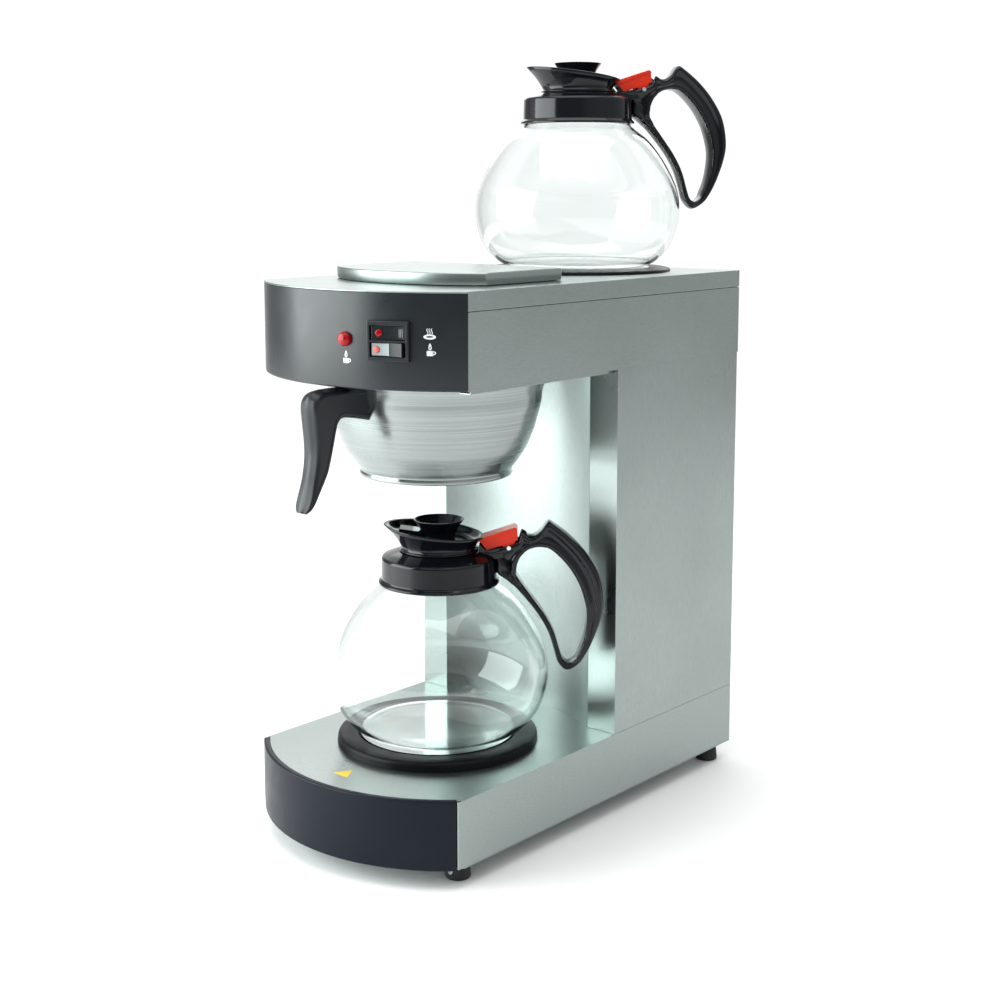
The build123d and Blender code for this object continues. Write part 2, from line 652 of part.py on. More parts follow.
def hole_outline():
    """Finger opening of the grip."""
    strap = [
        (77, 144), (68, 141.6), (60.4, 134), (59.4, 122), (64.5, 113.5),
        (73, 102), (81.5, 89.5), (88.2, 75.5), (92.4, 62),
    ]
    bottom = [(92.4, 62), (95, 54.6), (100, 52.4), (104.6, 55.4), (107.4, 61)]
    back = [
        (107.4, 61), (112, 76), (113.2, 90), (110.6, 106),
        (103.4, 122), (93, 136), (84.5, 142.6), (77, 144),
    ]
    level, down, up = (-1, 0, 0.05), (0.22, 0, -1), (0.4, 0, 1)
    return face(
        Spline(*rz(strap), tangents=(level, down)),
        Spline(*rz(bottom), tangents=(down, up)),
        Spline(*rz(back), tangents=(up, level)),
    )


GRIP_HALF = 10.0
SLOT_HALF = 8.5
SLOT_R = 17.2


def carafe_handle():
    """Loop handle with two cheeks that hold the lid's pin."""
    grip = extrude(grip_outline(), amount=GRIP_HALF, both=True)
    grip -= extrude(hole_outline(), amount=GRIP_HALF + 1, both=True)
    slot = Pos(PIN_H, 0, PIN_Z) * Rot(90, 0, 0) * Cylinder(SLOT_R, 2 * SLOT_HALF)
    slot -= block(PIN_H - 8, 100, -20, 20, 100, PIN_Z - 6.4)
    slot += block(30, PIN_H, -SLOT_HALF, SLOT_HALF, PIN_Z - 4.5, 160)
    grip -= slot
    grip -= collar_envelope()
    grip -= Pos(PIN_H, 0, PIN_Z) * Rot(90, 0, 0) * Cylinder(1.62, 40)
    return grip


def lid_pin():
    return Pos(PIN_H, 0, PIN_Z) * Rot(90, 0, 0) * Cylinder(1.6, 2 * GRIP_HALF + 0.6)


def lid_cup(grow):
    """Oblique flared cup: round at the mouth, egg-shaped and tilted at the rim."""
    mouth = Pos(0, 0, 140.5 - 0.01 * grow) * Circle(28.0 + grow)
    rim = Pos(-3.6, 0, 156.2) * Rot(0, 7.2, 0) * Ellipse(36.6 + grow, 31.5 + grow)
    return loft([mouth.face(), rim.face()])


def carafe_lid():
    """Pouring lid: flared cup, sloping deck and a hollow flared knob."""
    cup = lid_cup(0)
    floor = Pos(-2.0, 0, 150.6) * Rot(0, 7.2, 0) * Ellipse(31.6, 27.6)
    rim = Pos(-3.6, 0, 156.3) * Rot(0, 7.2, 0) * Ellipse(34.8, 29.7)
    cup -= loft([floor.face(), rim.face()])
    plug = ring(0, 0, 137.9, 140.6, 26.2, 23.5)
    knob = turned(
        Spline(*rz([(12.4, 149), (13.4, 154.5), (16.6, 160.4), (19.6, 164.3)])),
        Polyline(*rz([(19.6, 164.3), (18.2, 164.3)])),
        Spline(*rz([(18.2, 164.3), (15, 160.4), (11.6, 156)])),
        Polyline(*rz([(11.6, 156), (0, 156), (0, 149), (12.4, 149)])),
    )
    return cup + plug + knob


def lid_lever():
    """Thumb lever over the pin, joined to the back of the lid."""
    bar = [(30, 149.5), (35.6, 143.2), (60.2, 152.4), (57.6, 159), (33.5, 150.6), (30, 149.5)]
    rib = [(42, 146), (49.4, 142), (57.6, 142), (57.6, 151), (42, 146)]
    lever = extrude(face(Polyline(*rz(bar))), amount=8.2, both=True)
    web = extrude(face(Polyline(*rz(rib))), amount=7.5, both=True)
    web += Pos(PIN_H, 0, PIN_Z) * Rot(90, 0, 0) * Cylinder(4.2, 15)
    lever += web
    lever -= lid_cup(0)
    return lever - Pos(PIN_H, 0, PIN_Z) * Rot(90, 0, 0) * Cylinder(1.68, 40)


CARAFES = {
    "lower": Pos(*LOWER_CARAFE, BASE_TOP + LOWER_RIM + CARAFE_GAP) * Rot(0, 0, LOWER_HANDLE_DEG),
    "upper": Pos(*UPPER, HEAD_TOP + UPPER_RIM + CARAFE_GAP) * Rot(0, 0, UPPER_HANDLE_DEG),
}


def build():
    """Every sub-part by its node name."""
    lower, upper = (LOWER, BASE_TOP, LOWER_RIM), (UPPER, HEAD_TOP, UPPER_RIM)
    nodes = {}
    for maker in (
        base_shell, base_front_fascia, base_bottom_plate, feet, foot_screws, column_shell,
        column_front_panel, column_back_panel, back_panel_screws, head_shell, head_front_panel,
        head_bottom_plate, basket_rails, top_cover, fill_lid, fill_basin, drain_hose,
        reservoir_tank, reservoir_lid, check_valve, heater_inlet_hose, flow_heater, riser_tube,
        spray_head, spray_nut, thermostat, thermal_cutout, terminal_block, cord_gland,
        switch_bezel, switch_bodies, lamp_lens, lamp_body, brew_basket, basket_screen,
        basket_handle, handle_screws,
    ):
        nodes[maker.__name__] = maker()
    for level, warmer in (("lower", lower), ("upper", upper)):
        nodes[f"{level}_warmer_disc"] = warmer_disc(*warmer)
        nodes[f"{level}_warmer_rim"] = warmer_rim(*warmer)
        nodes[f"{level}_warmer_element"] = warmer_element(*warmer)
        nodes[f"{level}_element_clamp"] = element_clamp(*warmer)
        for maker in (carafe_glass, carafe_collar, carafe_handle, carafe_lid, lid_lever, lid_pin):
            nodes[f"{level}_{maker.__name__}"] = CARAFES[level] * maker()
    nodes["warmer_rocker"] = rocker(1, ROCKER_TILT)
    nodes["brew_rocker"] = rocker(-1, -ROCKER_TILT)
    return nodes


os.makedirs("parts", exist_ok=True)
for name, shape in build().items():
    export_step(shape, f"parts/{name}.step")
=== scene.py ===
import math

import bmesh
import bpy
from mathutils import Matrix, Vector


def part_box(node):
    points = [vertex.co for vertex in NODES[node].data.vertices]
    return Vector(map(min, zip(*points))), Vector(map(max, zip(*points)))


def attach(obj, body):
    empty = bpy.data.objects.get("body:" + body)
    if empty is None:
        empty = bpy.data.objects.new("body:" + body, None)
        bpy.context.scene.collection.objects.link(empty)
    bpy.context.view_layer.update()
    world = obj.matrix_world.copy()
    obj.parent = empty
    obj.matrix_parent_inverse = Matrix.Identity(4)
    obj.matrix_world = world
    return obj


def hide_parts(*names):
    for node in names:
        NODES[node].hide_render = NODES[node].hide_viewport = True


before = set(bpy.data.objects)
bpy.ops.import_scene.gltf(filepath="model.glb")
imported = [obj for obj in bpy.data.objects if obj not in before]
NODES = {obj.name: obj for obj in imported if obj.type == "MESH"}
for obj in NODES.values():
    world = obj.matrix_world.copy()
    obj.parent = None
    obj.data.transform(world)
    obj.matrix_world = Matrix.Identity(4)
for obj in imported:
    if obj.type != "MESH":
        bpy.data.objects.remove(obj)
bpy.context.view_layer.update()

MM = 0.001               # profiles, outlines and sections are in mm, everything else in metres

# The carafes' handle directions, as in the CAD part.
LOWER_HANDLE = math.radians(40)
UPPER_HANDLE = math.radians(52)


# ---------------------------------------------------------------- small helpers
def centre_of(node):
    low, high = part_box(node)
    return (low + high) / 2


def axis_foot(node):
    """Lower end of the vertical axis through a node's middle."""
    low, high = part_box(node)
    return Vector(((low.x + high.x) / 2, (low.y + high.y) / 2, low.z))


def smooth_line(points, steps=6, closed=False):
    """Points of a Catmull-Rom curve through the given points."""
    count = len(points)
    made = []
    spans = count if closed else count - 1
    for i in range(spans):
        if closed:
            a, b, c, d = (Vector(points[(i + k - 1) % count]) for k in range(4))
        else:
            b, c = Vector(points[i]), Vector(points[i + 1])
            a = Vector(points[i - 1]) if i else b * 2 - c
            d = Vector(points[i + 2]) if i + 2 < count else c * 2 - b
        for k in range(steps):
            t = k / steps
            bend, twist = 2 * a - 5 * b + 4 * c - d, 3 * b - a - 3 * c + d
            made.append(0.5 * ((2 * b) + (c - a) * t + bend * t * t + twist * t**3))
    if not closed:
        made.append(Vector(points[-1]))
    return made


def object_of(name, mesh_builder, material, smooth=True):
    """A new object from a bmesh, with clean normals."""
    mesh = bpy.data.meshes.new(name)
    bmesh.ops.recalc_face_normals(mesh_builder, faces=mesh_builder.faces)
    mesh_builder.to_mesh(mesh)
    mesh_builder.free()
    for polygon in mesh.polygons:
        polygon.use_smooth = smooth
    made = bpy.data.objects.new(name, mesh)
    bpy.context.scene.collection.objects.link(made)
    mesh.materials.append(material)
    return made


def apply_modifiers(target):
    """Turns the modifier stack into the object's own mesh."""
    graph = bpy.context.evaluated_depsgraph_get()
    mesh = bpy.data.meshes.new_from_object(target.evaluated_get(graph))
    target.modifiers.clear()
    target.data = mesh


def bevel(target, width, segments=3, angle=35):
    """Rounds edges sharper than angle."""
    modifier = target.modifiers.new("Edges", "BEVEL")
    modifier.width = width
    modifier.segments = segments
    modifier.limit_method = "ANGLE"
    modifier.angle_limit = math.radians(angle)
    modifier.harden_normals = True
    return target


def lathe(name, profile, centre, material, segments=144):
    """Surface of revolution about a vertical axis: profile is a closed list of (radius, height) in mm."""
    builder = bmesh.new()
    rings = []
    for r, z in profile:
        if r < 1e-6:
            rings.append([builder.verts.new((centre[0], centre[1], centre[2] + z * MM))])
            continue
        ring = []
        for k in range(segments):
            a = math.tau * k / segments
            ring.append(
                builder.verts.new(
                    (centre[0] + r * MM * math.cos(a), centre[1] + r * MM * math.sin(a), centre[2] + z * MM)
                )
            )
        rings.append(ring)
    for a, b in zip(rings, rings[1:] + rings[:1]):
        if len(a) == 1 and len(b) == 1:
            continue
        for k in range(segments):
            k2 = (k + 1) % segments
            if len(a) == 1:
                builder.faces.new((a[0], b[k], b[k2]))
            elif len(b) == 1:
                builder.faces.new((a[k], b[0], a[k2]))
            else:
                builder.faces.new((a[k], b[k], b[k2], a[k2]))
    return object_of(name, builder, material)


def skin(builder, a, b):
    """Quads between two closed rings of the same length."""
    for k in range(len(a)):
        k2 = (k + 1) % len(a)
        builder.faces.new((a[k], a[k2], b[k2], b[k]))


def loft(name, loops, material, closed=False):
    """Skin through loops of equal length: closed joins the last to the first, and open ends get caps."""
    builder = bmesh.new()
    rings = [[builder.verts.new(p) for p in loop] for loop in loops]
    pairs = list(zip(rings, rings[1:]))
    if closed:
        pairs.append((rings[-1], rings[0]))
    for a, b in pairs:
        skin(builder, a, b)
    if not closed:
        builder.faces.new(rings[0])
        builder.faces.new(list(reversed(rings[-1])))
    return object_of(name, builder, material)


def place(origin, angle):
    """Matrix of a frame turned about the vertical, with its origin in metres."""
    return Matrix.Translation(origin) @ Matrix.Rotation(angle, 4, "Z")


# ---------------------------------------------------------------- materials
class Shader:
    """Short way to build a node material."""

    def __init__(self, name, colour, roughness=0.5, metallic=0.0):
        self.material = bpy.data.materials.new(name)
        self.material.use_nodes = True
        self.tree = self.material.node_tree
        self.bsdf = self.tree.nodes["Principled BSDF"]
        self.set("Base Color", (*colour, 1.0))
        self.set("Roughness", roughness)
        self.set("Metallic", metallic)
        self.coords = self.tree.nodes.new("ShaderNodeTexCoord").outputs["Object"]
        self.last_bump = None

    def set(self, socket, value):
        self.bsdf.inputs[socket].default_value = value

    def link(self, a, b):
        self.tree.links.new(a, b)

    def noise(self, scale, detail=3.0):
        """Noise value, stretched by scale in the object's own axes."""
        mapping = self.tree.nodes.new("ShaderNodeMapping")
        mapping.inputs["Scale"].default_value = scale
        self.link(self.coords, mapping.inputs["Vector"])
        noise = self.tree.nodes.new("ShaderNodeTexNoise")
        noise.inputs["Scale"].default_value = 1.0
        noise.inputs["Detail"].default_value = detail
        noise.inputs["Roughness"].default_value = 0.55
        self.link(mapping.outputs["Vector"], noise.inputs["Vector"])
        return noise.outputs["Fac"]

    def tint(self, value, dark, light, start=0.3, stop=0.7):
        """Colour between two tones, driven by a value."""
        ramp = self.tree.nodes.new("ShaderNodeValToRGB")
        ramp.color_ramp.elements[0].position = start
        ramp.color_ramp.elements[1].position = stop
        ramp.color_ramp.elements[0].color = (*dark, 1)
        ramp.color_ramp.elements[1].color = (*light, 1)
        self.link(value, ramp.inputs["Fac"])
        self.link(ramp.outputs["Color"], self.bsdf.inputs["Base Color"])

    def roughness(self, value, low, high):
        """Roughness between two values, driven by a value."""
        node = self.tree.nodes.new("ShaderNodeMapRange")
        node.inputs["From Min"].default_value = 0.3
        node.inputs["From Max"].default_value = 0.7
        node.inputs["To Min"].default_value = low
        node.inputs["To Max"].default_value = high
        self.link(value, node.inputs["Value"])
        self.link(node.outputs["Result"], self.bsdf.inputs["Roughness"])

    def bump(self, value, strength, distance):
        """Relief, on top of any that the material has already."""
        node = self.tree.nodes.new("ShaderNodeBump")
        node.inputs["Strength"].default_value = strength
        node.inputs["Distance"].default_value = distance
        self.link(value, node.inputs["Height"])
        if self.last_bump:
            self.link(self.last_bump, node.inputs["Normal"])
        self.last_bump = node.outputs["Normal"]
        self.link(self.last_bump, self.bsdf.inputs["Normal"])


def brushed(name, grain, dark, light, rough=(0.24, 0.38), strength=0.25):
    """Stainless sheet brushed along one axis: grain gives the stretch of the scratches."""
    shader = Shader(name, light, metallic=1.0)
    lines = shader.noise(scale=grain, detail=4.0)
    broad = shader.noise(scale=(9, 9, 9), detail=2.0)
    shader.tint(lines, dark, light, 0.25, 0.75)
    shader.roughness(broad, rough[0], rough[1])
    shader.bump(lines, strength, 0.00006)
    return shader.material


def plastic(name, dark, light, rough, grain=0.0, specular=0.5):
    """Moulded plastic: a faint colour drift, uneven gloss and an optional fine spark texture."""
    shader = Shader(name, light)
    shader.set("Specular IOR Level", specular)
    drift = shader.noise(scale=(14, 14, 14), detail=3.0)
    shader.tint(drift, dark, light)
    shader.roughness(shader.noise(scale=(60, 60, 60), detail=4.0), rough[0], rough[1])
    if grain:
        shader.bump(shader.noise(scale=(2600, 2600, 2600), detail=2.0), grain, 0.00005)
    return shader.material


def spun(name):
    """Spun steel: fine rings round the vertical axis, which stretch every reflection upwards."""
    shader = Shader(name, (0.45, 0.48, 0.47), metallic=1.0)
    rings = shader.noise(scale=(6, 6, 2600), detail=3.0)
    shader.tint(rings, (0.27, 0.3, 0.295), (0.4, 0.432, 0.425), 0.3, 0.7)
    shader.roughness(shader.noise(scale=(5, 5, 300), detail=3.0), 0.2, 0.3)
    shader.set("Anisotropic", 0.7)
    shader.set("Anisotropic Rotation", 0.25)
    tangent = shader.tree.nodes.new("ShaderNodeTangent")
    tangent.direction_type = "RADIAL"
    tangent.axis = "Z"
    shader.link(tangent.outputs["Tangent"], shader.bsdf.inputs["Tangent"])
    shader.bump(rings, 0.12, 0.00005)
    return shader.material


def radial_brushed(name, centre, dark, light):
    """Turned disc: rings about a point, from the distance to its axis."""
    shader = Shader(name, light, metallic=1.0)
    tree = shader.tree
    offset = tree.nodes.new("ShaderNodeVectorMath")
    offset.operation = "SUBTRACT"
    offset.inputs[1].default_value = (centre[0], centre[1], 0)
    shader.link(shader.coords, offset.inputs[0])
    flat = tree.nodes.new("ShaderNodeVectorMath")
    flat.operation = "MULTIPLY"
    flat.inputs[1].default_value = (1, 1, 0)
    shader.link(offset.outputs["Vector"], flat.inputs[0])
    length = tree.nodes.new("ShaderNodeVectorMath")
    length.operation = "LENGTH"
    shader.link(flat.outputs["Vector"], length.inputs[0])
    noise = tree.nodes.new("ShaderNodeTexNoise")
    noise.noise_dimensions = "1D"
    noise.inputs["Scale"].default_value = 1400
    noise.inputs["Detail"].default_value = 4
    shader.link(length.outputs["Value"], noise.inputs["W"])
    shader.tint(noise.outputs["Fac"], dark, light)
    shader.roughness(shader.noise(scale=(30, 30, 30)), 0.1, 0.2)
    shader.bump(noise.outputs["Fac"], 0.15, 0.00005)
    return shader.material


def clear_glass(name):
    """Blown borosilicate glass with slight waviness."""
    shader = Shader(name, (0.975, 0.99, 0.985), roughness=0.0)
    shader.set("Transmission Weight", 1.0)
    shader.set("IOR", 1.47)
    shader.bump(shader.noise(scale=(22, 22, 34), detail=2.0), 0.12, 0.0006)
    shader.roughness(shader.noise(scale=(50, 50, 50)), 0.0, 0.015)
    absorption = shader.tree.nodes.new("ShaderNodeVolumeAbsorption")
    absorption.inputs["Color"].default_value = (0.5, 0.72, 0.66, 1)
    absorption.inputs["Density"].default_value = 16
    shader.link(absorption.outputs["Volume"], shader.tree.nodes["Material Output"].inputs["Volume"])
    return shader.material


def lens(name, colour):
    """Coloured translucent lens."""
    shader = Shader(name, colour)
    shader.tint(shader.noise(scale=(200, 200, 200)), tuple(c * 0.8 for c in colour), colour)
    shader.roughness(shader.noise(scale=(500, 500, 500)), 0.06, 0.14)
    shader.set("Specular IOR Level", 0.35)
    return shader.material


STEEL_DARK, STEEL_LIGHT = (0.3, 0.343, 0.332), (0.38, 0.428, 0.414)
steel = brushed("cabinet_steel", (2600, 240, 2600), STEEL_DARK, STEEL_LIGHT, strength=0.08)
steel_upright = brushed("upright_steel", (2400, 2400, 200), STEEL_DARK, STEEL_LIGHT, strength=0.08)
pressed = brushed("pressed_steel", (120, 120, 120), (0.5, 0.52, 0.51), (0.6, 0.62, 0.61), strength=0.1)
bright = brushed("bright_steel", (400, 400, 400), (0.62, 0.64, 0.64), (0.75, 0.77, 0.77), (0.12, 0.2), 0.05)
spun_steel = spun("spun_steel")
panel_black = plastic("panel_black", (0.006, 0.009, 0.012), (0.009, 0.013, 0.017), (0.27, 0.34), grain=0.08)
gloss_black = plastic(
    "carafe_black", (0.002, 0.0026, 0.0045), (0.004, 0.0048, 0.0075), (0.08, 0.14), specular=0.36
)
handle_black = plastic(
    "handle_black", (0.005, 0.007, 0.01), (0.008, 0.011, 0.015), (0.28, 0.38), grain=0.12, specular=0.4
)
enamel_black = plastic(
    "black_enamel", (0.002, 0.0025, 0.0035), (0.004, 0.0045, 0.006), (0.3, 0.4), specular=0.12
)
fascia_black = plastic(
    "fascia_black", (0.004, 0.006, 0.012), (0.006, 0.009, 0.017), (0.3, 0.4), grain=0.08, specular=0.16
)
rocker_black = plastic("rocker_black", (0.006, 0.007, 0.01), (0.01, 0.012, 0.016), (0.25, 0.36), specular=0.4)
# Painted highlight: this grey copy of the black rocker plastic stands in for the light on the lower rocker's
# raised half; it also colours the ridges.
rocker_grey = plastic("rocker_grey", (0.3, 0.34, 0.35), (0.38, 0.42, 0.43), (0.3, 0.42))
rubber = plastic("foot_rubber", (0.008, 0.008, 0.009), (0.016, 0.016, 0.017), (0.6, 0.8), grain=0.5)
electrical = plastic("electrical_plastic", (0.03, 0.03, 0.03), (0.05, 0.05, 0.05), (0.4, 0.55), grain=0.2)
tank = plastic("tank_plastic", (0.62, 0.62, 0.58), (0.72, 0.72, 0.68), (0.35, 0.5), grain=0.1)
silicone = plastic("silicone_hose", (0.6, 0.58, 0.52), (0.7, 0.68, 0.62), (0.35, 0.5), grain=0.1)
aluminium = brushed("cast_aluminium", (60, 60, 60), (0.42, 0.42, 0.42), (0.58, 0.58, 0.58), (0.45, 0.65), 0.6)
sheath = brushed("element_sheath", (200, 200, 200), (0.12, 0.1, 0.09), (0.22, 0.2, 0.18), (0.4, 0.6), 0.3)
red_plastic = plastic("lever_red", (0.68, 0.022, 0.006), (0.8, 0.04, 0.012), (0.24, 0.34), specular=0.25)
red_lens = lens("red_lens", (0.34, 0.0, 0.005))
pink_lens = lens("pink_lens", (0.72, 0.16, 0.14))
yellow = plastic("sticker_yellow", (0.78, 0.55, 0.02), (0.85, 0.62, 0.04), (0.4, 0.5))
print_white = plastic("print_white", (0.72, 0.75, 0.75), (0.82, 0.84, 0.84), (0.5, 0.6))
glass = clear_glass("carafe_glass")

NODE_MATERIALS = {
    steel: [
        "base_shell", "head_shell", "top_cover", "fill_lid", "basket_rails", "head_bottom_plate",
        "base_bottom_plate",
    ],
    steel_upright: ["column_shell", "column_front_panel", "column_back_panel"],
    panel_black: ["base_front_fascia", "head_front_panel", "switch_bezel", "cord_gland"],
    pressed: ["fill_basin", "lower_element_clamp", "upper_element_clamp"],
    bright: [
        "foot_screws", "back_panel_screws", "handle_screws", "spray_nut", "spray_head",
        "lower_lid_pin", "upper_lid_pin", "basket_screen",
    ],
    silicone: ["drain_hose", "heater_inlet_hose", "riser_tube"],
    tank: ["reservoir_tank", "reservoir_lid", "check_valve"],
    aluminium: ["flow_heater"],
    sheath: ["lower_warmer_element", "upper_warmer_element"],
    electrical: ["thermostat", "thermal_cutout", "terminal_block", "switch_bodies", "lamp_body"],
    rubber: ["feet"],
    enamel_black: ["lower_warmer_rim", "upper_warmer_rim"],
    glass: ["lower_carafe_glass", "upper_carafe_glass"],
    gloss_black: [
        f"{level}_carafe_{part}" for level in ("lower", "upper") for part in ("collar", "handle", "lid")
    ],
    red_plastic: ["lower_lid_lever", "upper_lid_lever"],
    spun_steel: ["brew_basket"],
    handle_black: ["basket_handle"],
    rocker_black: ["warmer_rocker"],
    rocker_grey: ["brew_rocker"],
    red_lens: ["lamp_lens"],
}
for material, names in NODE_MATERIALS.items():
    for name in names:
        NODES[name].data.materials.clear()
        NODES[name].data.materials.append(material)
for level in ("lower", "upper"):
    name = f"{level}_warmer_disc"
    NODES[name].data.materials.clear()
    NODES[name].data.materials.append(
        radial_brushed(name + "_steel", centre_of(name), (0.6, 0.62, 0.62), (0.74, 0.76, 0.76))
    )

# Sheet and moulded pieces kept from the CAD get softly rounded edges, by bevel width.
WELD_REACH = 0.02
SOFT_EDGES = {
    0.45: [
        "base_shell", "column_shell", "head_shell", "top_cover", "basket_rails", "column_back_panel",
        "base_bottom_plate",
    ],
    0.7: ["cord_gland"],
    0.35: ["switch_bezel", "fill_basin", "head_bottom_plate"],
}
for width, names in SOFT_EDGES.items():
    for name in names:
        weld = NODES[name].modifiers.new("Weld", "WELD")
        weld.merge_threshold = WELD_REACH * MM
        bevel(NODES[name], width * MM, 2, 40)

# ---------------------------------------------------------------- profiles and sections
def rounded(points, radius, steps=4):
    """Closed 2-D outline with its corners rounded; radius is one value or one per corner."""
    made = []
    count = len(points)
    for i in range(count):
        size = radius[i] if isinstance(radius, (list, tuple)) else radius
        before, here, after = (Vector(points[(i + k) % count]) for k in (-1, 0, 1))
        if size <= 0:
            made.append(here)
            continue
        back, ahead = before - here, after - here
        cut = min(size, 0.45 * back.length, 0.45 * ahead.length)
        p, q = here + back.normalized() * cut, here + ahead.normalized() * cut
        for k in range(steps + 1):
            t = k / steps
            made.append(p * (1 - t) ** 2 + here * 2 * t * (1 - t) + q * t * t)
    return made


def offset_line(points, distance):
    """Open 2-D line moved sideways, to the left of its direction."""
    made = []
    for i, point in enumerate(points):
        a = points[max(i - 1, 0)]
        b = points[min(i + 1, len(points) - 1)]
        along = (b - a).normalized()
        made.append(point + Vector((-along.y, along.x)) * distance)
    return made


def bar_section(thick, half, outer, inner, bead=0.0, recess=0.0, crown=0.0):
    """Section of a moulded bar, as (depth from the outer face, sideways): rounded corners,
    a raised bead along both edges of each side and a shallow panel between them."""
    outer, inner = min(outer, thick * 0.4, half * 0.9), min(inner, thick * 0.3, half * 0.9)
    bead = min(bead, (thick - outer - inner) * 0.28)
    one = [(0.0, 0.0), (crown * 0.35, 0.55 * (half - outer)), (crown, half - outer)]
    for a in (25, 50, 72, 90):
        s, c = math.sin(math.radians(a)), math.cos(math.radians(a))
        one.append((crown + (outer - crown) * (1 - c), half - outer + outer * s))
    one += [(outer + bead, half), (outer + bead + 0.5 * recess, half - recess)]
    one += [(thick - inner - bead - 0.5 * recess, half - recess), (thick - inner - bead, half)]
    for a in (90, 60, 30, 0):
        s, c = math.sin(math.radians(a)), math.cos(math.radians(a))
        one.append((thick - inner + inner * c, half - inner + inner * s))
    one.append((thick, 0.0))
    return one + [(u, -v) for u, v in reversed(one[1:-1])]


def swept_bar(name, pairs, section, frame_of, material, closed, steps=5):
    """Bar through pairs of (outer, inner) points; section(i, thickness) gives the outline at station i."""
    outers = smooth_line([p[0] for p in pairs], steps, closed)
    inners = smooth_line([p[1] for p in pairs], steps, closed)
    loops = []
    for i, (o, h) in enumerate(zip(outers, inners)):
        thick = (h - o).length
        across = (h - o).normalized()
        loops.append([frame_of(o + across * u, v) for u, v in section(i / steps, thick)])
    return loft(name, loops, material, closed=closed)


def cut(target, cutter):
    """Boolean difference, with the cutter removed afterwards."""
    modifier = target.modifiers.new("Cut", "BOOLEAN")
    modifier.operation = "DIFFERENCE"
    modifier.solver = "EXACT"
    modifier.object = cutter
    apply_modifiers(target)
    bpy.data.objects.remove(cutter)


def prism_of(name, outline, low, high, to_world, material):
    """Straight prism of a 2-D outline between two offsets, through to_world(x, y, offset)."""
    loops = [[to_world(x, y, level) for x, y in outline] for level in (low, high)]
    return loft(name, loops, material)


def settle(piece, body, slot, *nodes):
    """Rides a body and stands for CAD nodes; slot is not used."""
    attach(piece, body)
    if nodes:
        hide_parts(*nodes)


# ---------------------------------------------------------------- carafes
# Profiles as (radius, height above the glass's bottom).
GLASS = [
    (0, 0), (30, 0), (50, 0), (58, 0.8), (66, 5), (74.5, 13.5), (80, 24), (83.3, 37), (84, 48), (82.4, 60),
    (78.8, 70), (73.2, 81), (65.8, 92.5), (57.6, 102.5), (49, 109.6), (43.4, 114.6), (41.5, 121), (41.5, 127),
    (41.5, 132.4),
]
GLASS_LIP = [(41.2, 133), (39.8, 133)]
GLASS_WALL = 2.0
COLLAR = [
    (46.5, 115.4), (46.5, 117), (44.4, 119), (44, 134.6), (43, 136.2), (31.5, 140.2), (27.4, 140.2),
    (27.4, 137.8), (41.7, 134.4), (41.7, 121), (44.6, 115.4),
]
KNOB = [
    (0, 149), (12.4, 149), (12.6, 152), (13.4, 155), (16.6, 160.4), (19.5, 164.2), (18.3, 164.3),
    (15.2, 160.8), (12, 157.6), (6, 156.4), (0, 156.2),
]
KNOB_RADII = [0, 0, 1, 1, 1, 0.6, 0.6, 1.5, 2, 2, 0]
PLUG = [(23.5, 137.9), (26.2, 137.9), (26.2, 141), (23.5, 141)]
# Outer and inner edge of the handle, station by station, as (distance from the carafe's axis, height).
HANDLE = [
    ((50, 118.5), (59.5, 121.5)), ((57, 112.5), (63.5, 115)), ((66.5, 102), (71.5, 104)),
    ((76, 89.5), (81, 90.5)), ((83, 77), (88, 77)), ((87.8, 62.5), (92.4, 62.5)), ((90.6, 53), (95.2, 55)),
    ((97.6, 46), (99.5, 52.4)), ((106.5, 50.5), (104.5, 55.4)), ((112.5, 58.5), (107.2, 61)),
    ((118.5, 70), (111, 72)), ((124, 85), (113.2, 87)), ((126.3, 100), (112.4, 98)),
    ((122.8, 120), (107.6, 114)), ((113.5, 137), (99.5, 128)), ((101.5, 150.8), (90.5, 138)),
    ((88, 161.6), (84.5, 142.6)), ((82.9, 163.4), (81, 143.6)), ((77.8, 157), (77, 144)),
    ((73, 153.4), (73.5, 143.6)), ((68.6, 153), (70, 142.6)), ((65.8, 154.6), (68, 141.6)),
    ((63.4, 155.8), (66.4, 140.6)), ((61.9, 153.4), (65.4, 139.6)), ((60.6, 149.8), (64.6, 138.6)),
    ((56, 147.2), (63.4, 137.4)), ((50, 145.2), (62, 135.4)), ((38.6, 141.4), (60, 131)),
    ((32.4, 141.9), (59.4, 127.6)), ((42.8, 135.5), (59.2, 125.8)), ((42.8, 125), (59, 124)),
]
# Stations where the strap ends, and where the grip and its sunk side panels start and end.
STRAP_END, GRIP_START, GRIP_END = 7, 9, 17.5
STRAP_HALF, GRIP_EXTRA = 7, 3
PIN, PIN_RADIUS = (53.5, 143.5), 4
SLOT_HALF = 8.5
# Room in the handle's bridge for the lever at rest and with the lid open.
SLOT = [
    (28, 166), (28, 140.2), (36.2, 139.9), (47.6, 143.2), (49.6, 140), (53.5, 138.4), (57.4, 140),
    (60.5, 141.9), (63.8, 143.4), (67.2, 147.2), (68.5, 151.2), (66.2, 155.1), (62.6, 158.6), (56, 161),
    (50, 166),
]
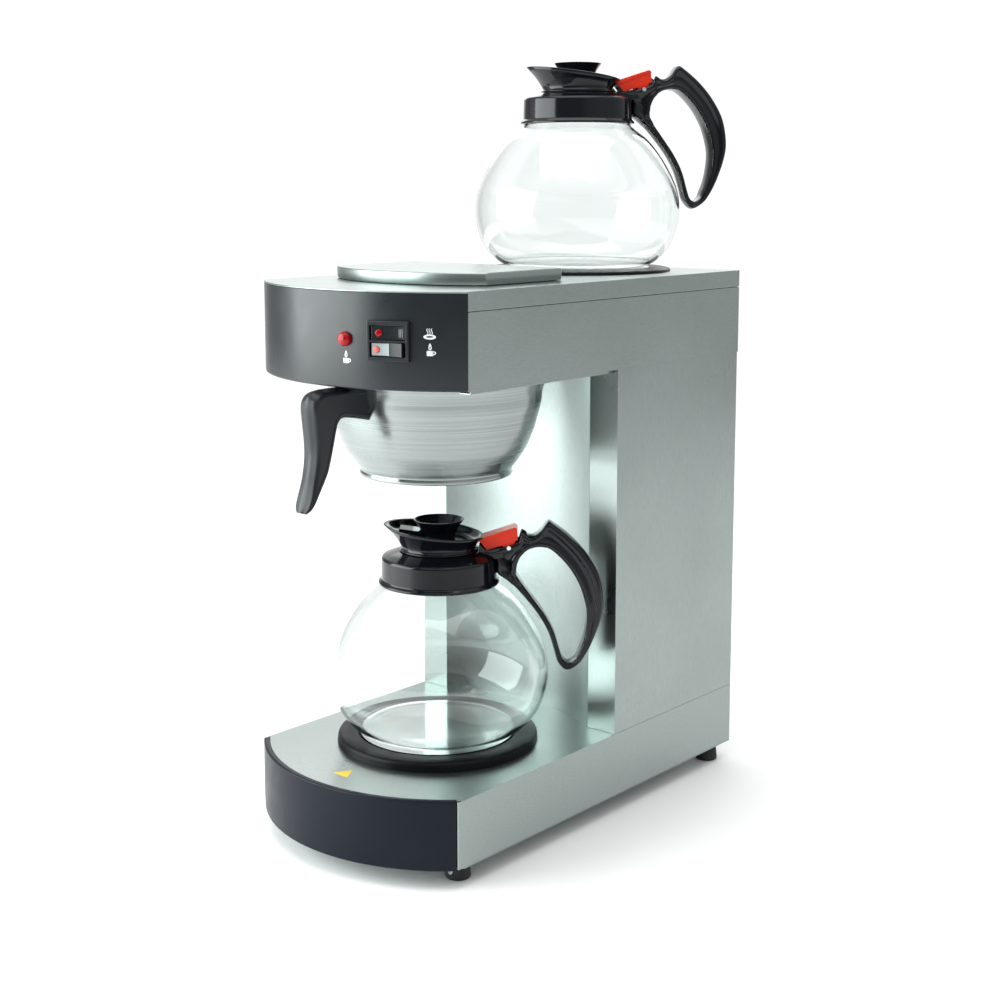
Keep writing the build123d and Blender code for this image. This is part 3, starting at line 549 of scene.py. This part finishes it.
# Plate that closes the side of the bridge between the collar, the lid and the lever.
CHEEK = [(30.4, 140), (31.2, 146.6), (36.2, 141.3), (46, 143.8), (50, 136), (43, 134.8)]
CHEEK_INSIDE, CHEEK_OUTSIDE = 8.6, 9.8
LEVER_BLOCK = [(31.6, 147.8), (36.8, 141.1), (60.4, 149.2), (59.8, 157.8)]
LEVER_PLATE = [
    (30.2, 148.8), (31.6, 147.8), (35.2, 148.8), (58.4, 157.2), (60.6, 157.3), (58.2, 159.3), (34, 151.4),
]
LEVER_WEB = [
    (PIN[0] + PIN_RADIUS * math.cos(a), PIN[1] + PIN_RADIUS * math.sin(a))
    for a in (math.tau * k / 32 for k in range(16, 33))
] + [(58.6, 150), (47, 146.4)]
POUR_SHIELD = [(-31, 152.6), (-12, 150.6), (-12, 155.6), (-30, 158)]
# The lid's sloping rim: its tilt, its height over the axis and how far it sits towards the beak.
LID_TILT = math.radians(7.2)
RIM_Z, RIM_SHIFT, BEAK = 156.2, 3.0, 1.4
LID_POINTS = 96
BODY_SEGMENTS, LID_SEGMENTS = 160, 96


def build_carafe(level, body, lid_body, angle):
    """Glass, collar, handle and the hinged lid with its lever; angle is the handle's direction."""
    origin = axis_foot(f"{level}_carafe_glass")
    at = place(origin, angle)

    def local(h, v, z):
        """Point h towards the handle, v to its side and z up, in mm."""
        return at @ Vector((h * MM, v * MM, z * MM))

    def upright(h, z, v):
        return local(h, v, z)

    def slab(name, outline, half, edge, material):
        """Plate across the handle's plane, with soft edges."""
        return bevel(prism_of(f"{level}_{name}", outline, -half, half, upright, material), edge * MM)

    # Glass: the outside, the lip, then the inside.
    outside = [Vector(p) for p in smooth_line(GLASS, 4)]
    inside = offset_line(outside, GLASS_WALL)
    inside[0] = Vector((0, GLASS_WALL))
    inside = [p for p in inside if p.x >= 0]
    lip = [Vector(p) for p in GLASS_LIP]
    vessel = lathe(f"{level}_glass_vessel", outside + lip + inside[::-1], origin, glass, BODY_SEGMENTS)
    settle(vessel, body, "carafe_glass", f"{level}_carafe_glass")

    collar = lathe(f"{level}_collar", rounded(COLLAR, 0.7), origin, gloss_black, BODY_SEGMENTS)
    settle(collar, body, "carafe_black", f"{level}_carafe_collar")

    # Handle: a closed ring from the collar, down the strap, up the grip and over the bridge.
    def section(i, thick):
        grip = min(max((i - STRAP_END) / (GRIP_START - STRAP_END), 0), 1)
        root = 0.6 if i < 1 else 0
        half = STRAP_HALF + GRIP_EXTRA * max(grip, root)
        panel = 0.9 if thick > 10 and GRIP_START < i < GRIP_END else 0.35
        return bar_section(thick, half, outer=3.6, inner=2.0, bead=2.4, recess=panel, crown=0.7)

    handle = swept_bar(
        f"{level}_handle", [(Vector(o), Vector(h)) for o, h in HANDLE], section,
        lambda p, v: local(p.x, v, p.y), gloss_black, True,
    )
    cut(handle, prism_of("slot", SLOT, -SLOT_HALF, SLOT_HALF, upright, gloss_black))
    settle(handle, body, "carafe_black", f"{level}_carafe_handle")

    for side, start, stop in (("near", -CHEEK_OUTSIDE, -CHEEK_INSIDE), ("far", CHEEK_INSIDE, CHEEK_OUTSIDE)):
        cheek = prism_of(f"{level}_handle_cheek_{side}", CHEEK, start, stop, upright, gloss_black)
        settle(bevel(cheek, 0.4 * MM), body, "carafe_black")

    # Lid: an oblique cup with a beak, a sloping deck inside and a hollow knob.
    bearings = [math.tau * k / LID_POINTS for k in range(LID_POINTS)]

    def rim_loop(scale_h, scale_v, drop, beak=0.0):
        loop = []
        for a in bearings:
            h, v = scale_h * math.cos(a), scale_v * math.sin(a)
            h -= beak * max(0.0, -math.cos(a)) ** 12
            z = RIM_Z - h * math.tan(LID_TILT) - drop
            loop.append(local(h - RIM_SHIFT, v, z))
        return loop

    def base_loop(r, z):
        return [local(r * math.cos(a), r * math.sin(a), z) for a in bearings]

    def between(a, b, t, pull):
        """Loop part of the way from a to b, drawn in to give a concave flare."""
        centre = sum(a, Vector()) / LID_POINTS
        out = []
        for p, q in zip(a, b):
            m = p.lerp(q, t)
            inward = centre - m
            inward.z = 0
            out.append(m + inward.normalized() * pull * MM)
        return out

    foot, rim_outer = base_loop(28, 142.2), rim_loop(38.0, 33.0, 0.6, BEAK)
    rim_top, rim_inner = rim_loop(37.2, 32.3, 0.0, BEAK), rim_loop(35.6, 30.7, 0.5, BEAK)
    deck = rim_loop(29.0, 25.0, 5.6)
    loops = [base_loop(0.5, 140.8), base_loop(24, 140.8), base_loop(29.6, 140.8), base_loop(30.2, 141.2)]
    loops += [base_loop(29.4, 141.8), foot]
    loops += [between(foot, rim_outer, t, p) for t, p in ((0.2, 0.9), (0.4, 1.3), (0.6, 1.3), (0.8, 0.8))]
    loops += [rim_outer, rim_top, rim_inner]
    loops += [between(rim_inner, deck, t, p) for t, p in ((0.35, -0.5), (0.7, -0.7))]
    loops += [deck, rim_loop(24, 20.5, 6.0), rim_loop(13, 12, 5.4), rim_loop(0.5, 0.5, 5.4)]
    lid = loft(f"{level}_lid_cup", loops, gloss_black)
    settle(lid, lid_body, "carafe_black", f"{level}_carafe_lid")

    knob_line = [Vector(p) for p in rounded(KNOB, KNOB_RADII)]
    settle(lathe(f"{level}_lid_knob", knob_line, origin, gloss_black, LID_SEGMENTS), lid_body, "carafe_black")
    plug = lathe(f"{level}_lid_plug", rounded(PLUG, 0.5), origin, gloss_black, LID_SEGMENTS)
    settle(plug, lid_body, "carafe_black")
    # Raised pour shield between the knob and the beak.
    shield = slab("pour_shield", rounded(POUR_SHIELD, 0.8), 8, 0.9, gloss_black)
    settle(shield, lid_body, "carafe_black")

    # Thumb lever: a block under an overhanging top plate, turning on the pin.
    block = slab("lever", rounded(LEVER_BLOCK, 0.8), 7.6, 0.7, red_plastic)
    settle(block, lid_body, "lever_red", f"{level}_lid_lever")
    plate = slab("lever_plate", rounded(LEVER_PLATE, 0.5), 8.2, 0.5, red_plastic)
    settle(plate, lid_body, "lever_red")
    settle(slab("lever_web", LEVER_WEB, 7.4, 0.4, red_plastic), lid_body, "lever_red")


build_carafe("lower", "lower_carafe", "lower_lid", LOWER_HANDLE)
build_carafe("upper", "upper_carafe", "upper_lid", UPPER_HANDLE)

# ---------------------------------------------------------------- curved black fronts
# Both fronts bow out by the same amount past the chord between their ends.
FRONT_BULGE, FRONT_STEPS = 40.0, 36
HEAD_HALF, HEAD_CHORD_Y, HEAD_THICK = 102.5, -147.0, 3
FASCIA_THICK, FASCIA_OVERLAP = 4.7, 0.2


def curved_front(name, node, half, chord_y, thick, radii, material):
    """Wall along the front arc, as tall as the CAD node; radii round its section's corners."""
    low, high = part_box(node)
    bottom, top = low.z / MM, high.z / MM
    radius = (half * half + FRONT_BULGE * FRONT_BULGE) / (2 * FRONT_BULGE)
    centre_y = chord_y - FRONT_BULGE + radius
    section = rounded([(0, bottom), (0, top), (thick, top), (thick, bottom)], radii, 4)
    reach = math.asin((half - 0.25) / radius)
    loops = []
    for k in range(-FRONT_STEPS, FRONT_STEPS + 1):
        sin_a, cos_a = math.sin(reach * k / FRONT_STEPS), math.cos(reach * k / FRONT_STEPS)
        loops.append([
            Vector(((radius - p.x) * sin_a * MM, (centre_y - (radius - p.x) * cos_a) * MM, p.y * MM))
            for p in section
        ])
    wall = loft(name, loops, material)
    settle(bevel(wall, 0.6 * MM, 2, 60), "machine", "panel_black", node)


curved_front(
    "head_front", "head_front_panel", HEAD_HALF, HEAD_CHORD_Y, HEAD_THICK, [1.2, 0.5, 0.4, 0.6], panel_black
)
low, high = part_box("base_front_fascia")
curved_front(
    "base_front", "base_front_fascia", high.x / MM + FASCIA_OVERLAP, low.y / MM + FRONT_BULGE, FASCIA_THICK,
    [0.8, 1.6, 1.2, 0.4], fascia_black,
)

# ---------------------------------------------------------------- brew basket
# Profile as (radius, height): down the outside, round the foot, over the floor and the outlet, and up
# the inside to the flange.
BOWL = [
    (85.2, 350.1), (81.2, 340), (79.3, 328), (76.3, 316), (72.6, 304), (67.4, 293), (61.4, 284),
    (57.2, 278.6),
]
BOWL_FOOT = [(57.6, 277.6), (58.2, 275.8), (57.4, 274.4), (55.6, 274.2), (54.4, 275.4), (54.4, 277.2)]
BOWL_FLOOR = [(40, 277.4), (6, 276.4), (6, 271.6), (4, 271.6), (4, 277.9), (40, 278.9), (54, 279.2)]
BOWL_FLANGE = [(84.4, 351.2), (91, 351.2), (91.2, 350.7), (91, 350.15)]
BOWL_WALL, FLANGE_RADIUS = 1.3, 91
SPIN_MARK = 0.1                               # depth of the uneven rings left by spinning

low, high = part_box("brew_basket")
basket_axis = Vector(((low.x + high.x) / 2, high.y - FLANGE_RADIUS * MM, 0))
wall = [Vector(p) for p in smooth_line(BOWL, 6)]
for i, point in enumerate(wall[1:-1]):
    point.x += SPIN_MARK * math.sin(i * 2.4) * (1 if i % 2 else -1)
bowl_profile = wall + [Vector(p) for p in BOWL_FOOT + BOWL_FLOOR] + offset_line(wall, -BOWL_WALL)[::-1]
bowl_profile += [Vector(p) for p in BOWL_FLANGE]
bowl = lathe("basket_bowl", bowl_profile, basket_axis, spun_steel, 192)
settle(bowl, "basket", "spun_steel", "brew_basket")

# Outer and inner edge of the grip, station by station, as (y, height).
BASKET_GRIP = [
    ((-146, 349.6), (-146, 323.5)), ((-160, 349.6), (-160, 326.5)), ((-178, 349.6), (-172.5, 328)),
    ((-190, 349.4), (-177.5, 324.5)), ((-196.8, 347.4), (-179, 320.5)), ((-200.3, 343), (-180, 317)),
    ((-200.9, 337), (-181, 313)), ((-199.9, 326), (-182.6, 307)), ((-198.8, 315), (-184.6, 300)),
    ((-198.4, 306), (-187.2, 292)), ((-199.2, 298), (-190, 286.5)), ((-201.5, 287.5), (-194, 280)),
    ((-204.6, 276.8), (-198.4, 273)), ((-207.6, 268.8), (-202.6, 267)), ((-209.2, 264.8), (-205.6, 263.6)),
]


GRIP_HALF, GRIP_TIP_START = 8.3, 12


def grip_section(i, thick):
    """Section of the grip, which narrows over its last stations."""
    tip = max(0.0, (i - GRIP_TIP_START) / 2)
    half = GRIP_HALF * (1 - 0.5 * tip * tip)
    return bar_section(thick, half, outer=4.6, inner=2.4, bead=1.2, recess=0.45, crown=1.3)


grip = swept_bar(
    "basket_grip", [(Vector(o), Vector(h)) for o, h in BASKET_GRIP], grip_section,
    lambda p, v: Vector((v * MM, p.x * MM, p.y * MM)), handle_black, False,
)
settle(bevel(grip, 1.0 * MM, 3, 60), "basket", "handle_black", "basket_handle")

# ---------------------------------------------------------------- warmers
for level in ("lower", "upper"):
    low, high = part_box(f"{level}_warmer_rim")
    reach = (high.x - low.x) / 2 / MM
    height = (high.z - low.z) / MM
    disc_low, disc_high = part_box(f"{level}_warmer_disc")
    disc_reach = (disc_high.x - disc_low.x) / 2 / MM
    lip = min(3.0, height * 0.45)
    profile = [
        (disc_reach + 0.2, height * 0.35), (disc_reach + 1.4, height - 0.4), (reach - 6, height),
        (reach - 0.6, height - 1.2), (reach, 0), (disc_reach + 4, 0),
    ]
    rim = lathe(
        f"{level}_rim", rounded(profile, [0.4, 1.2, 3.0, lip, 0.4, 0.4]), axis_foot(f"{level}_warmer_rim"),
        enamel_black, BODY_SEGMENTS,
    )
    settle(rim, "machine", "black_enamel", f"{level}_warmer_rim")

# ---------------------------------------------------------------- fill lid
FILL_HALF, FILL_REAR, FILL_SIDE_FRONT, FILL_BOW, FILL_LOW = 77, -9.5, -98, -125, 420.4
FILL_STEPS, FILL_FRONT_CORNER, FILL_REAR_CORNER = 20, 9.0, 3.0
# The pan's edge, as (inset from the widest outline, height).
FILL_EDGE = [(1.9, 0), (1.4, 0.4), (1.1, 4.6), (1.1, 8.1), (1.4, 8.7), (2.0, 9.0), (2.8, 9.1), (10, 9.1)]


def fill_outline(inset):
    """Plan of the lid: a bowed front, straight sides and a straight rear."""
    half, rear = FILL_HALF - inset, FILL_REAR - inset
    front, bow = FILL_SIDE_FRONT + inset, FILL_BOW + inset
    rise = front - bow
    radius = (half * half + rise * rise) / (2 * rise)
    reach = math.asin(half / radius)
    angles = (reach * k / FILL_STEPS for k in range(-FILL_STEPS, FILL_STEPS + 1))
    points = [(radius * math.sin(a), bow + radius * (1 - math.cos(a))) for a in angles]
    points += [(half, rear), (-half, rear)]
    radii = [FILL_FRONT_CORNER] + [0] * (2 * FILL_STEPS - 1) + [FILL_FRONT_CORNER] + [FILL_REAR_CORNER] * 2
    return rounded(points, radii, 6)


loops = [
    [Vector((x * MM, y * MM, (FILL_LOW + up) * MM)) for x, y in fill_outline(inset)]
    for inset, up in FILL_EDGE
]
settle(loft("fill_lid_pan", loops, steel), "fill_lid", "cabinet_steel", "fill_lid")

# ---------------------------------------------------------------- feet
FOOT_CENTRES = [(-84, -139), (84, -139), (-88, 177), (88, 177)]
foot_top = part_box("feet")[1].z / MM
foot_profile = rounded(
    [(0, 0), (8.6, 0), (9.4, 1.2), (8.2, 12), (8.2, foot_top), (0, foot_top)], [0, 1, 0.8, 0.5, 0.5, 0]
)
for k, (x, y) in enumerate(FOOT_CENTRES):
    foot = lathe(f"foot_{k}", foot_profile, Vector((x * MM, y * MM, 0)), rubber, 48)
    settle(foot, "machine", "foot_rubber", *(["feet"] if k == 0 else []))

# ---------------------------------------------------------------- switches, lamp and symbols
# The CAD's arc of the head's front, for placing things on it by their bearing from the front.
HEAD_RADIUS, HEAD_CENTRE_Y = 151.3, -35.7


def on_panel(angle, z):
    """Frame on the head's curved front: local x along the panel, local y up, local z outwards."""
    a = math.radians(angle)
    out = Vector((math.sin(a), -math.cos(a), 0))
    along = Vector((math.cos(a), math.sin(a), 0))
    base = Vector((0, HEAD_CENTRE_Y, z)) + out * HEAD_RADIUS

    def to_world(x, y, level):
        return (base + along * x + Vector((0, 0, y)) + out * level) * MM

    return to_world


def dome(name, to_world, radius, height, material, segments=48):
    """Low lens: a bead round its edge and a crowned middle."""
    rings = [
        (radius, -0.4), (radius, height * 0.25), (radius * 0.94, height * 0.55), (radius * 0.8, height * 0.8),
        (radius * 0.55, height * 0.95), (radius * 0.25, height), (0.02, height * 1.01),
    ]
    angles = [math.tau * k / segments for k in range(segments)]
    loops = [[to_world(r * math.cos(a), r * math.sin(a), up) for a in angles] for r, up in rings]
    return loft(name, loops, material)


settle(dome("lamp_dome", on_panel(8.9, 386.2), 5.2, 4.4, red_lens), "machine", "red_lens", "lamp_lens")

# Rockers: a dished face with ridges at one end and a small round lens at the other.
SWITCH_DEG, SWITCH_Z, SWITCH_PITCH, TILT, PIVOT = 21.9, 386.0, 11.4, 7.0, -3.0
ROCKER_HALF, ROCKER_HIGH = 11.9, 9.2
FACE_LEVEL, FACE_DISH, HIGHLIGHT_PLATE_LEVEL, HIGHLIGHT_PLATE_THICK = 1.9, 1.5, 1.95, 0.45
RIDGE_PITCH, RIDGE_HALF = 1.15, 3.1


def build_rocker(name, side, tilt, lens_material, node):
    """Rocker above (side 1) or below (side -1) the switch's middle; the lower one has a grey plate, a painted
    highlight for the light on its raised half.
    """
    upper, half = side > 0, ROCKER_HALF
    flat = on_panel(SWITCH_DEG, SWITCH_Z + side * SWITCH_PITCH / 2)
    cos_t, sin_t = math.cos(math.radians(tilt)), math.sin(math.radians(tilt))

    def tilted(x, y, level):
        deep = level - PIVOT
        return flat(x * cos_t + deep * sin_t, y, PIVOT - x * sin_t + deep * cos_t)

    def across(x, level, y):
        return tilted(x, y, level)

    def face(x):
        return FACE_LEVEL + FACE_DISH * (x / half) ** 2

    dish = [(half * (k / 8), FACE_LEVEL + FACE_DISH * (k / 8) ** 2) for k in range(8, -9, -1)]
    outline = rounded([(half, -3.5)] + dish + [(-half, -3.5), (-4, -7.2), (4, -7.2)], 0.5, 3)
    body = prism_of(name, outline, -ROCKER_HIGH / 2, ROCKER_HIGH / 2, across, rocker_black)
    bevel(body, 0.4 * MM, 2, 40)
    settle(body, node, "rocker_black" if upper else "rocker_grey", f"{node.split('_')[0]}_rocker")
    # Painted highlight: a grey plate over the left part of the lower rocker stands in for the light on its
    # raised half.
    if not upper:
        stations = [-11.2 + 12.8 * k / 8 for k in range(9)]
        under = [(x, HIGHLIGHT_PLATE_LEVEL + FACE_DISH * (x / half) ** 2) for x in stations]
        outline = under + [(x, z + HIGHLIGHT_PLATE_THICK) for x, z in under[::-1]]
        plate = prism_of(f"{name}_plate", outline, -4.2, 4.2, across, rocker_grey)
        settle(bevel(plate, 0.15 * MM, 2, 40), node, "rocker_grey")
    for k in range(3):
        x = (8.6 if upper else 0.2) + (k - 1) * RIDGE_PITCH
        top = face(x)
        outline = [(x - 0.32, top - 0.4), (x + 0.32, top - 0.4), (x + 0.2, top + 0.4), (x - 0.2, top + 0.4)]
        outline = rounded(outline, 0.12, 2)
        ridge = prism_of(f"{name}_ridge_{k}", outline, -RIDGE_HALF, RIDGE_HALF, across, rocker_grey)
        settle(ridge, node, "rocker_grey")
    x = -7.0 if upper else -8.0
    top = face(x) + (0 if upper else 0.4)

    def seat(px, py, level):
        return tilted(x + px, py, top + level)

    settle(dome(f"{name}_lens", seat, 2.5, 1.0, lens_material, 32), node, "red_lens")


build_rocker("warmer_rocker_body", 1, TILT, red_lens, "warmer_switch")
build_rocker("brew_rocker_body", -1, -TILT, pink_lens, "brew_switch")

PRINT_ROOT = -0.3                             # how far printed marks reach into the surface


def decal(name, outlines, to_world, material, thickness=0.12):
    """Printed mark: thin raised shapes joined into one piece; a pair of outlines is a ring."""
    builder = bmesh.new()
    for outline in outlines:
        if isinstance(outline, tuple):
            outer, inner = outline
            levels = ((outer, PRINT_ROOT), (outer, thickness), (inner, thickness), (inner, PRINT_ROOT))
            rings = [[builder.verts.new(to_world(x, y, level)) for x, y in loop] for loop, level in levels]
            for a, b in zip(rings, rings[1:] + rings[:1]):
                skin(builder, a, b)
            continue
        low = [builder.verts.new(to_world(x, y, PRINT_ROOT)) for x, y in outline]
        high = [builder.verts.new(to_world(x, y, thickness)) for x, y in outline]
        skin(builder, low, high)
        builder.faces.new(high)
        builder.faces.new(list(reversed(low)))
    return object_of(name, builder, material, smooth=False)


def ellipse(cx, cy, rx, ry, count=28):
    angles = [math.tau * k / count for k in range(count)]
    return [(cx + rx * math.cos(a), cy + ry * math.sin(a)) for a in angles]


def cup_and_drop():
    cup = rounded([(-2.5, -4.1), (1.9, -4.1), (2.1, -0.6), (-2.7, -0.6)], 0.5, 3)
    handle = (ellipse(2.3, -2.1, 1.5, 1.25), ellipse(2.3, -2.1, 0.85, 0.65))
    drop = [(p.x, p.y) for p in smooth_line([(-0.3, -0.1), (-1.5, 1.3), (-0.3, 4.6), (0.9, 1.3)], 5, True)]
    hole = [(x * 0.42 - 0.17, y * 0.42 + 0.7) for x, y in drop]
    return [[(p.x, p.y) for p in cup], handle, (drop, hole)]


def plate_and_steam():
    marks = [(ellipse(0, -2.0, 4.3, 1.75, 40), ellipse(0, -1.9, 2.5, 0.6, 40))]
    for x in (-1.5, 0, 1.5):
        middle = [(x + 0.42 * math.sin(k * 0.9), -0.2 + k * 0.56) for k in range(8)]
        right = [(px + 0.27, py) for px, py in middle]
        marks.append([(px - 0.27, py) for px, py in middle] + right[::-1])
    return marks


for name, marks, angle, z in (
    ("symbol_lamp", cup_and_drop(), 9.2, 373.6),
    ("symbol_brew", cup_and_drop(), 32.9, 380.6),
    ("symbol_warm", plate_and_steam(), 32.7, 391.4),
):
    settle(decal(name, marks, on_panel(angle, z), print_white), "machine", "panel_black")

STICKER_X, STICKER_Y, STICKER_CORNER = 0.6, -170, 8.4
base_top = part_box("base_shell")[1].z / MM
triangle = [
    (STICKER_CORNER * math.sin(a), STICKER_CORNER * math.cos(a)) for a in (0, math.tau / 3, 2 * math.tau / 3)
]


def on_base(x, y, level):
    return Vector(((STICKER_X + x) * MM, (STICKER_Y + y) * MM, (base_top + level) * MM))


sticker = decal("triangle_sticker", [[(p.x, p.y) for p in rounded(triangle, 1.2, 4)]], on_base, yellow, 0.15)
settle(sticker, "machine", "panel_black")

# ---------------------------------------------------------------- stage, light and camera
FLOOR_RADIUS = 2.2
# The world's brightness by bearing in degrees, from straight behind (+Y), clockwise from above.
WORLD_RING = [
    (-180, 0.2), (-168, 0.3), (-154, 0.95), (-106, 0.95), (-92, 0.35), (-74, 0.3), (-60, 1.05), (-8, 1.05),
    (10, 0.6), (60, 0.55), (95, 0.6), (118, 0.5), (135, 0.25), (180, 0.2),
]
# Between these heights of the view's direction the ring fades into plain white.
RING_TOP, WHITE_FROM = 0.35, 0.75
# Camera fitted to the object's known corners; the lens is for a 36 mm sensor, the angles in degrees.
CAMERA_LENS, CAMERA_SENSOR, CAMERA_SHIFT = 57.86, 36, -0.10
CAMERA_AT, CAMERA_YAW, CAMERA_PITCH = (0.816, -0.953, 0.495), 40.39, 7.84


def floor():
    builder = bmesh.new()
    bmesh.ops.create_circle(builder, cap_ends=True, segments=96, radius=FLOOR_RADIUS)
    mesh = bpy.data.meshes.new("floor")
    builder.to_mesh(mesh)
    builder.free()
    plane = bpy.data.objects.new("floor", mesh)
    bpy.context.scene.collection.objects.link(plane)
    shader = Shader("floor_pale", (0.96, 0.965, 0.965), roughness=0.6)
    shader.tint(shader.noise(scale=(2, 2, 2)), (0.955, 0.96, 0.96), (0.97, 0.975, 0.975))
    plane.data.materials.append(shader.material)


def area_light(name, location, target, size, power, colour=(1, 1, 1)):
    data = bpy.data.lights.new(name, "AREA")
    data.shape = "RECTANGLE"
    data.size, data.size_y = size
    data.energy = power
    data.color = colour
    lamp = bpy.data.objects.new(name, data)
    bpy.context.scene.collection.objects.link(lamp)
    lamp.location = location
    lamp.rotation_euler = (Vector(target) - Vector(location)).to_track_quat("-Z", "Y").to_euler()


def studio():
    """Soft studio: a world that is bright or dark by bearing and white above, and three soft boxes."""
    world = bpy.data.worlds.new("studio")
    bpy.context.scene.world = world
    world.use_nodes = True
    tree = world.node_tree
    background = tree.nodes["Background"]
    background.inputs["Strength"].default_value = 1.0
    coords = tree.nodes.new("ShaderNodeTexCoord")
    split = tree.nodes.new("ShaderNodeSeparateXYZ")
    tree.links.new(coords.outputs["Generated"], split.inputs["Vector"])
    turn = tree.nodes.new("ShaderNodeMath")
    turn.operation = "ARCTAN2"
    tree.links.new(split.outputs["X"], turn.inputs[0])
    tree.links.new(split.outputs["Y"], turn.inputs[1])
    part = tree.nodes.new("ShaderNodeMapRange")
    part.inputs["From Min"].default_value = -math.pi
    part.inputs["From Max"].default_value = math.pi
    tree.links.new(turn.outputs["Value"], part.inputs["Value"])
    ring = tree.nodes.new("ShaderNodeValToRGB")
    ramp = ring.color_ramp
    while len(ramp.elements) > 1:
        ramp.elements.remove(ramp.elements[-1])
    for k, (bearing, value) in enumerate(WORLD_RING):
        place_on = (bearing + 180) / 360
        element = ramp.elements[0] if k == 0 else ramp.elements.new(place_on)
        element.position = place_on
        element.color = (value, value * 1.01, value * 1.01, 1)
    tree.links.new(part.outputs["Result"], ring.inputs["Fac"])
    up = tree.nodes.new("ShaderNodeMapRange")
    up.inputs["From Min"].default_value = RING_TOP
    up.inputs["From Max"].default_value = WHITE_FROM
    tree.links.new(split.outputs["Z"], up.inputs["Value"])
    mix = tree.nodes.new("ShaderNodeMixRGB")
    mix.inputs["Color2"].default_value = (1.0, 1.0, 1.0, 1)
    tree.links.new(up.outputs["Result"], mix.inputs["Fac"])
    tree.links.new(ring.outputs["Color"], mix.inputs["Color1"])
    tree.links.new(mix.outputs["Color"], background.inputs["Color"])
    area_light("soft_box_left", (-1.04, -1.3, 0.7), (0, -0.05, 0.28), (1.7, 1.3), 42, (0.93, 1, 0.985))
    area_light("soft_box_behind", (-0.9, 1.3, 1.25), (0, 0, 0.35), (1.6, 0.9), 6)
    area_light("soft_box_top", (0.1, -0.2, 2.0), (0, 0, 0.3), (1.8, 1.8), 16)
    bpy.context.scene.view_settings.view_transform = "Standard"


def camera():
    data = bpy.data.cameras.new("camera")
    data.lens = CAMERA_LENS
    data.sensor_width = CAMERA_SENSOR
    data.shift_y = CAMERA_SHIFT
    data.clip_end = 50
    view = bpy.data.objects.new("camera", data)
    bpy.context.scene.collection.objects.link(view)
    yaw, pitch = math.radians(CAMERA_YAW), math.radians(CAMERA_PITCH)
    view.location = CAMERA_AT
    ahead = Vector((-math.sin(yaw) * math.cos(pitch), math.cos(yaw) * math.cos(pitch), -math.sin(pitch)))
    view.rotation_euler = ahead.to_track_quat("-Z", "Y").to_euler()
    bpy.context.scene.camera = view


floor()
studio()
camera()
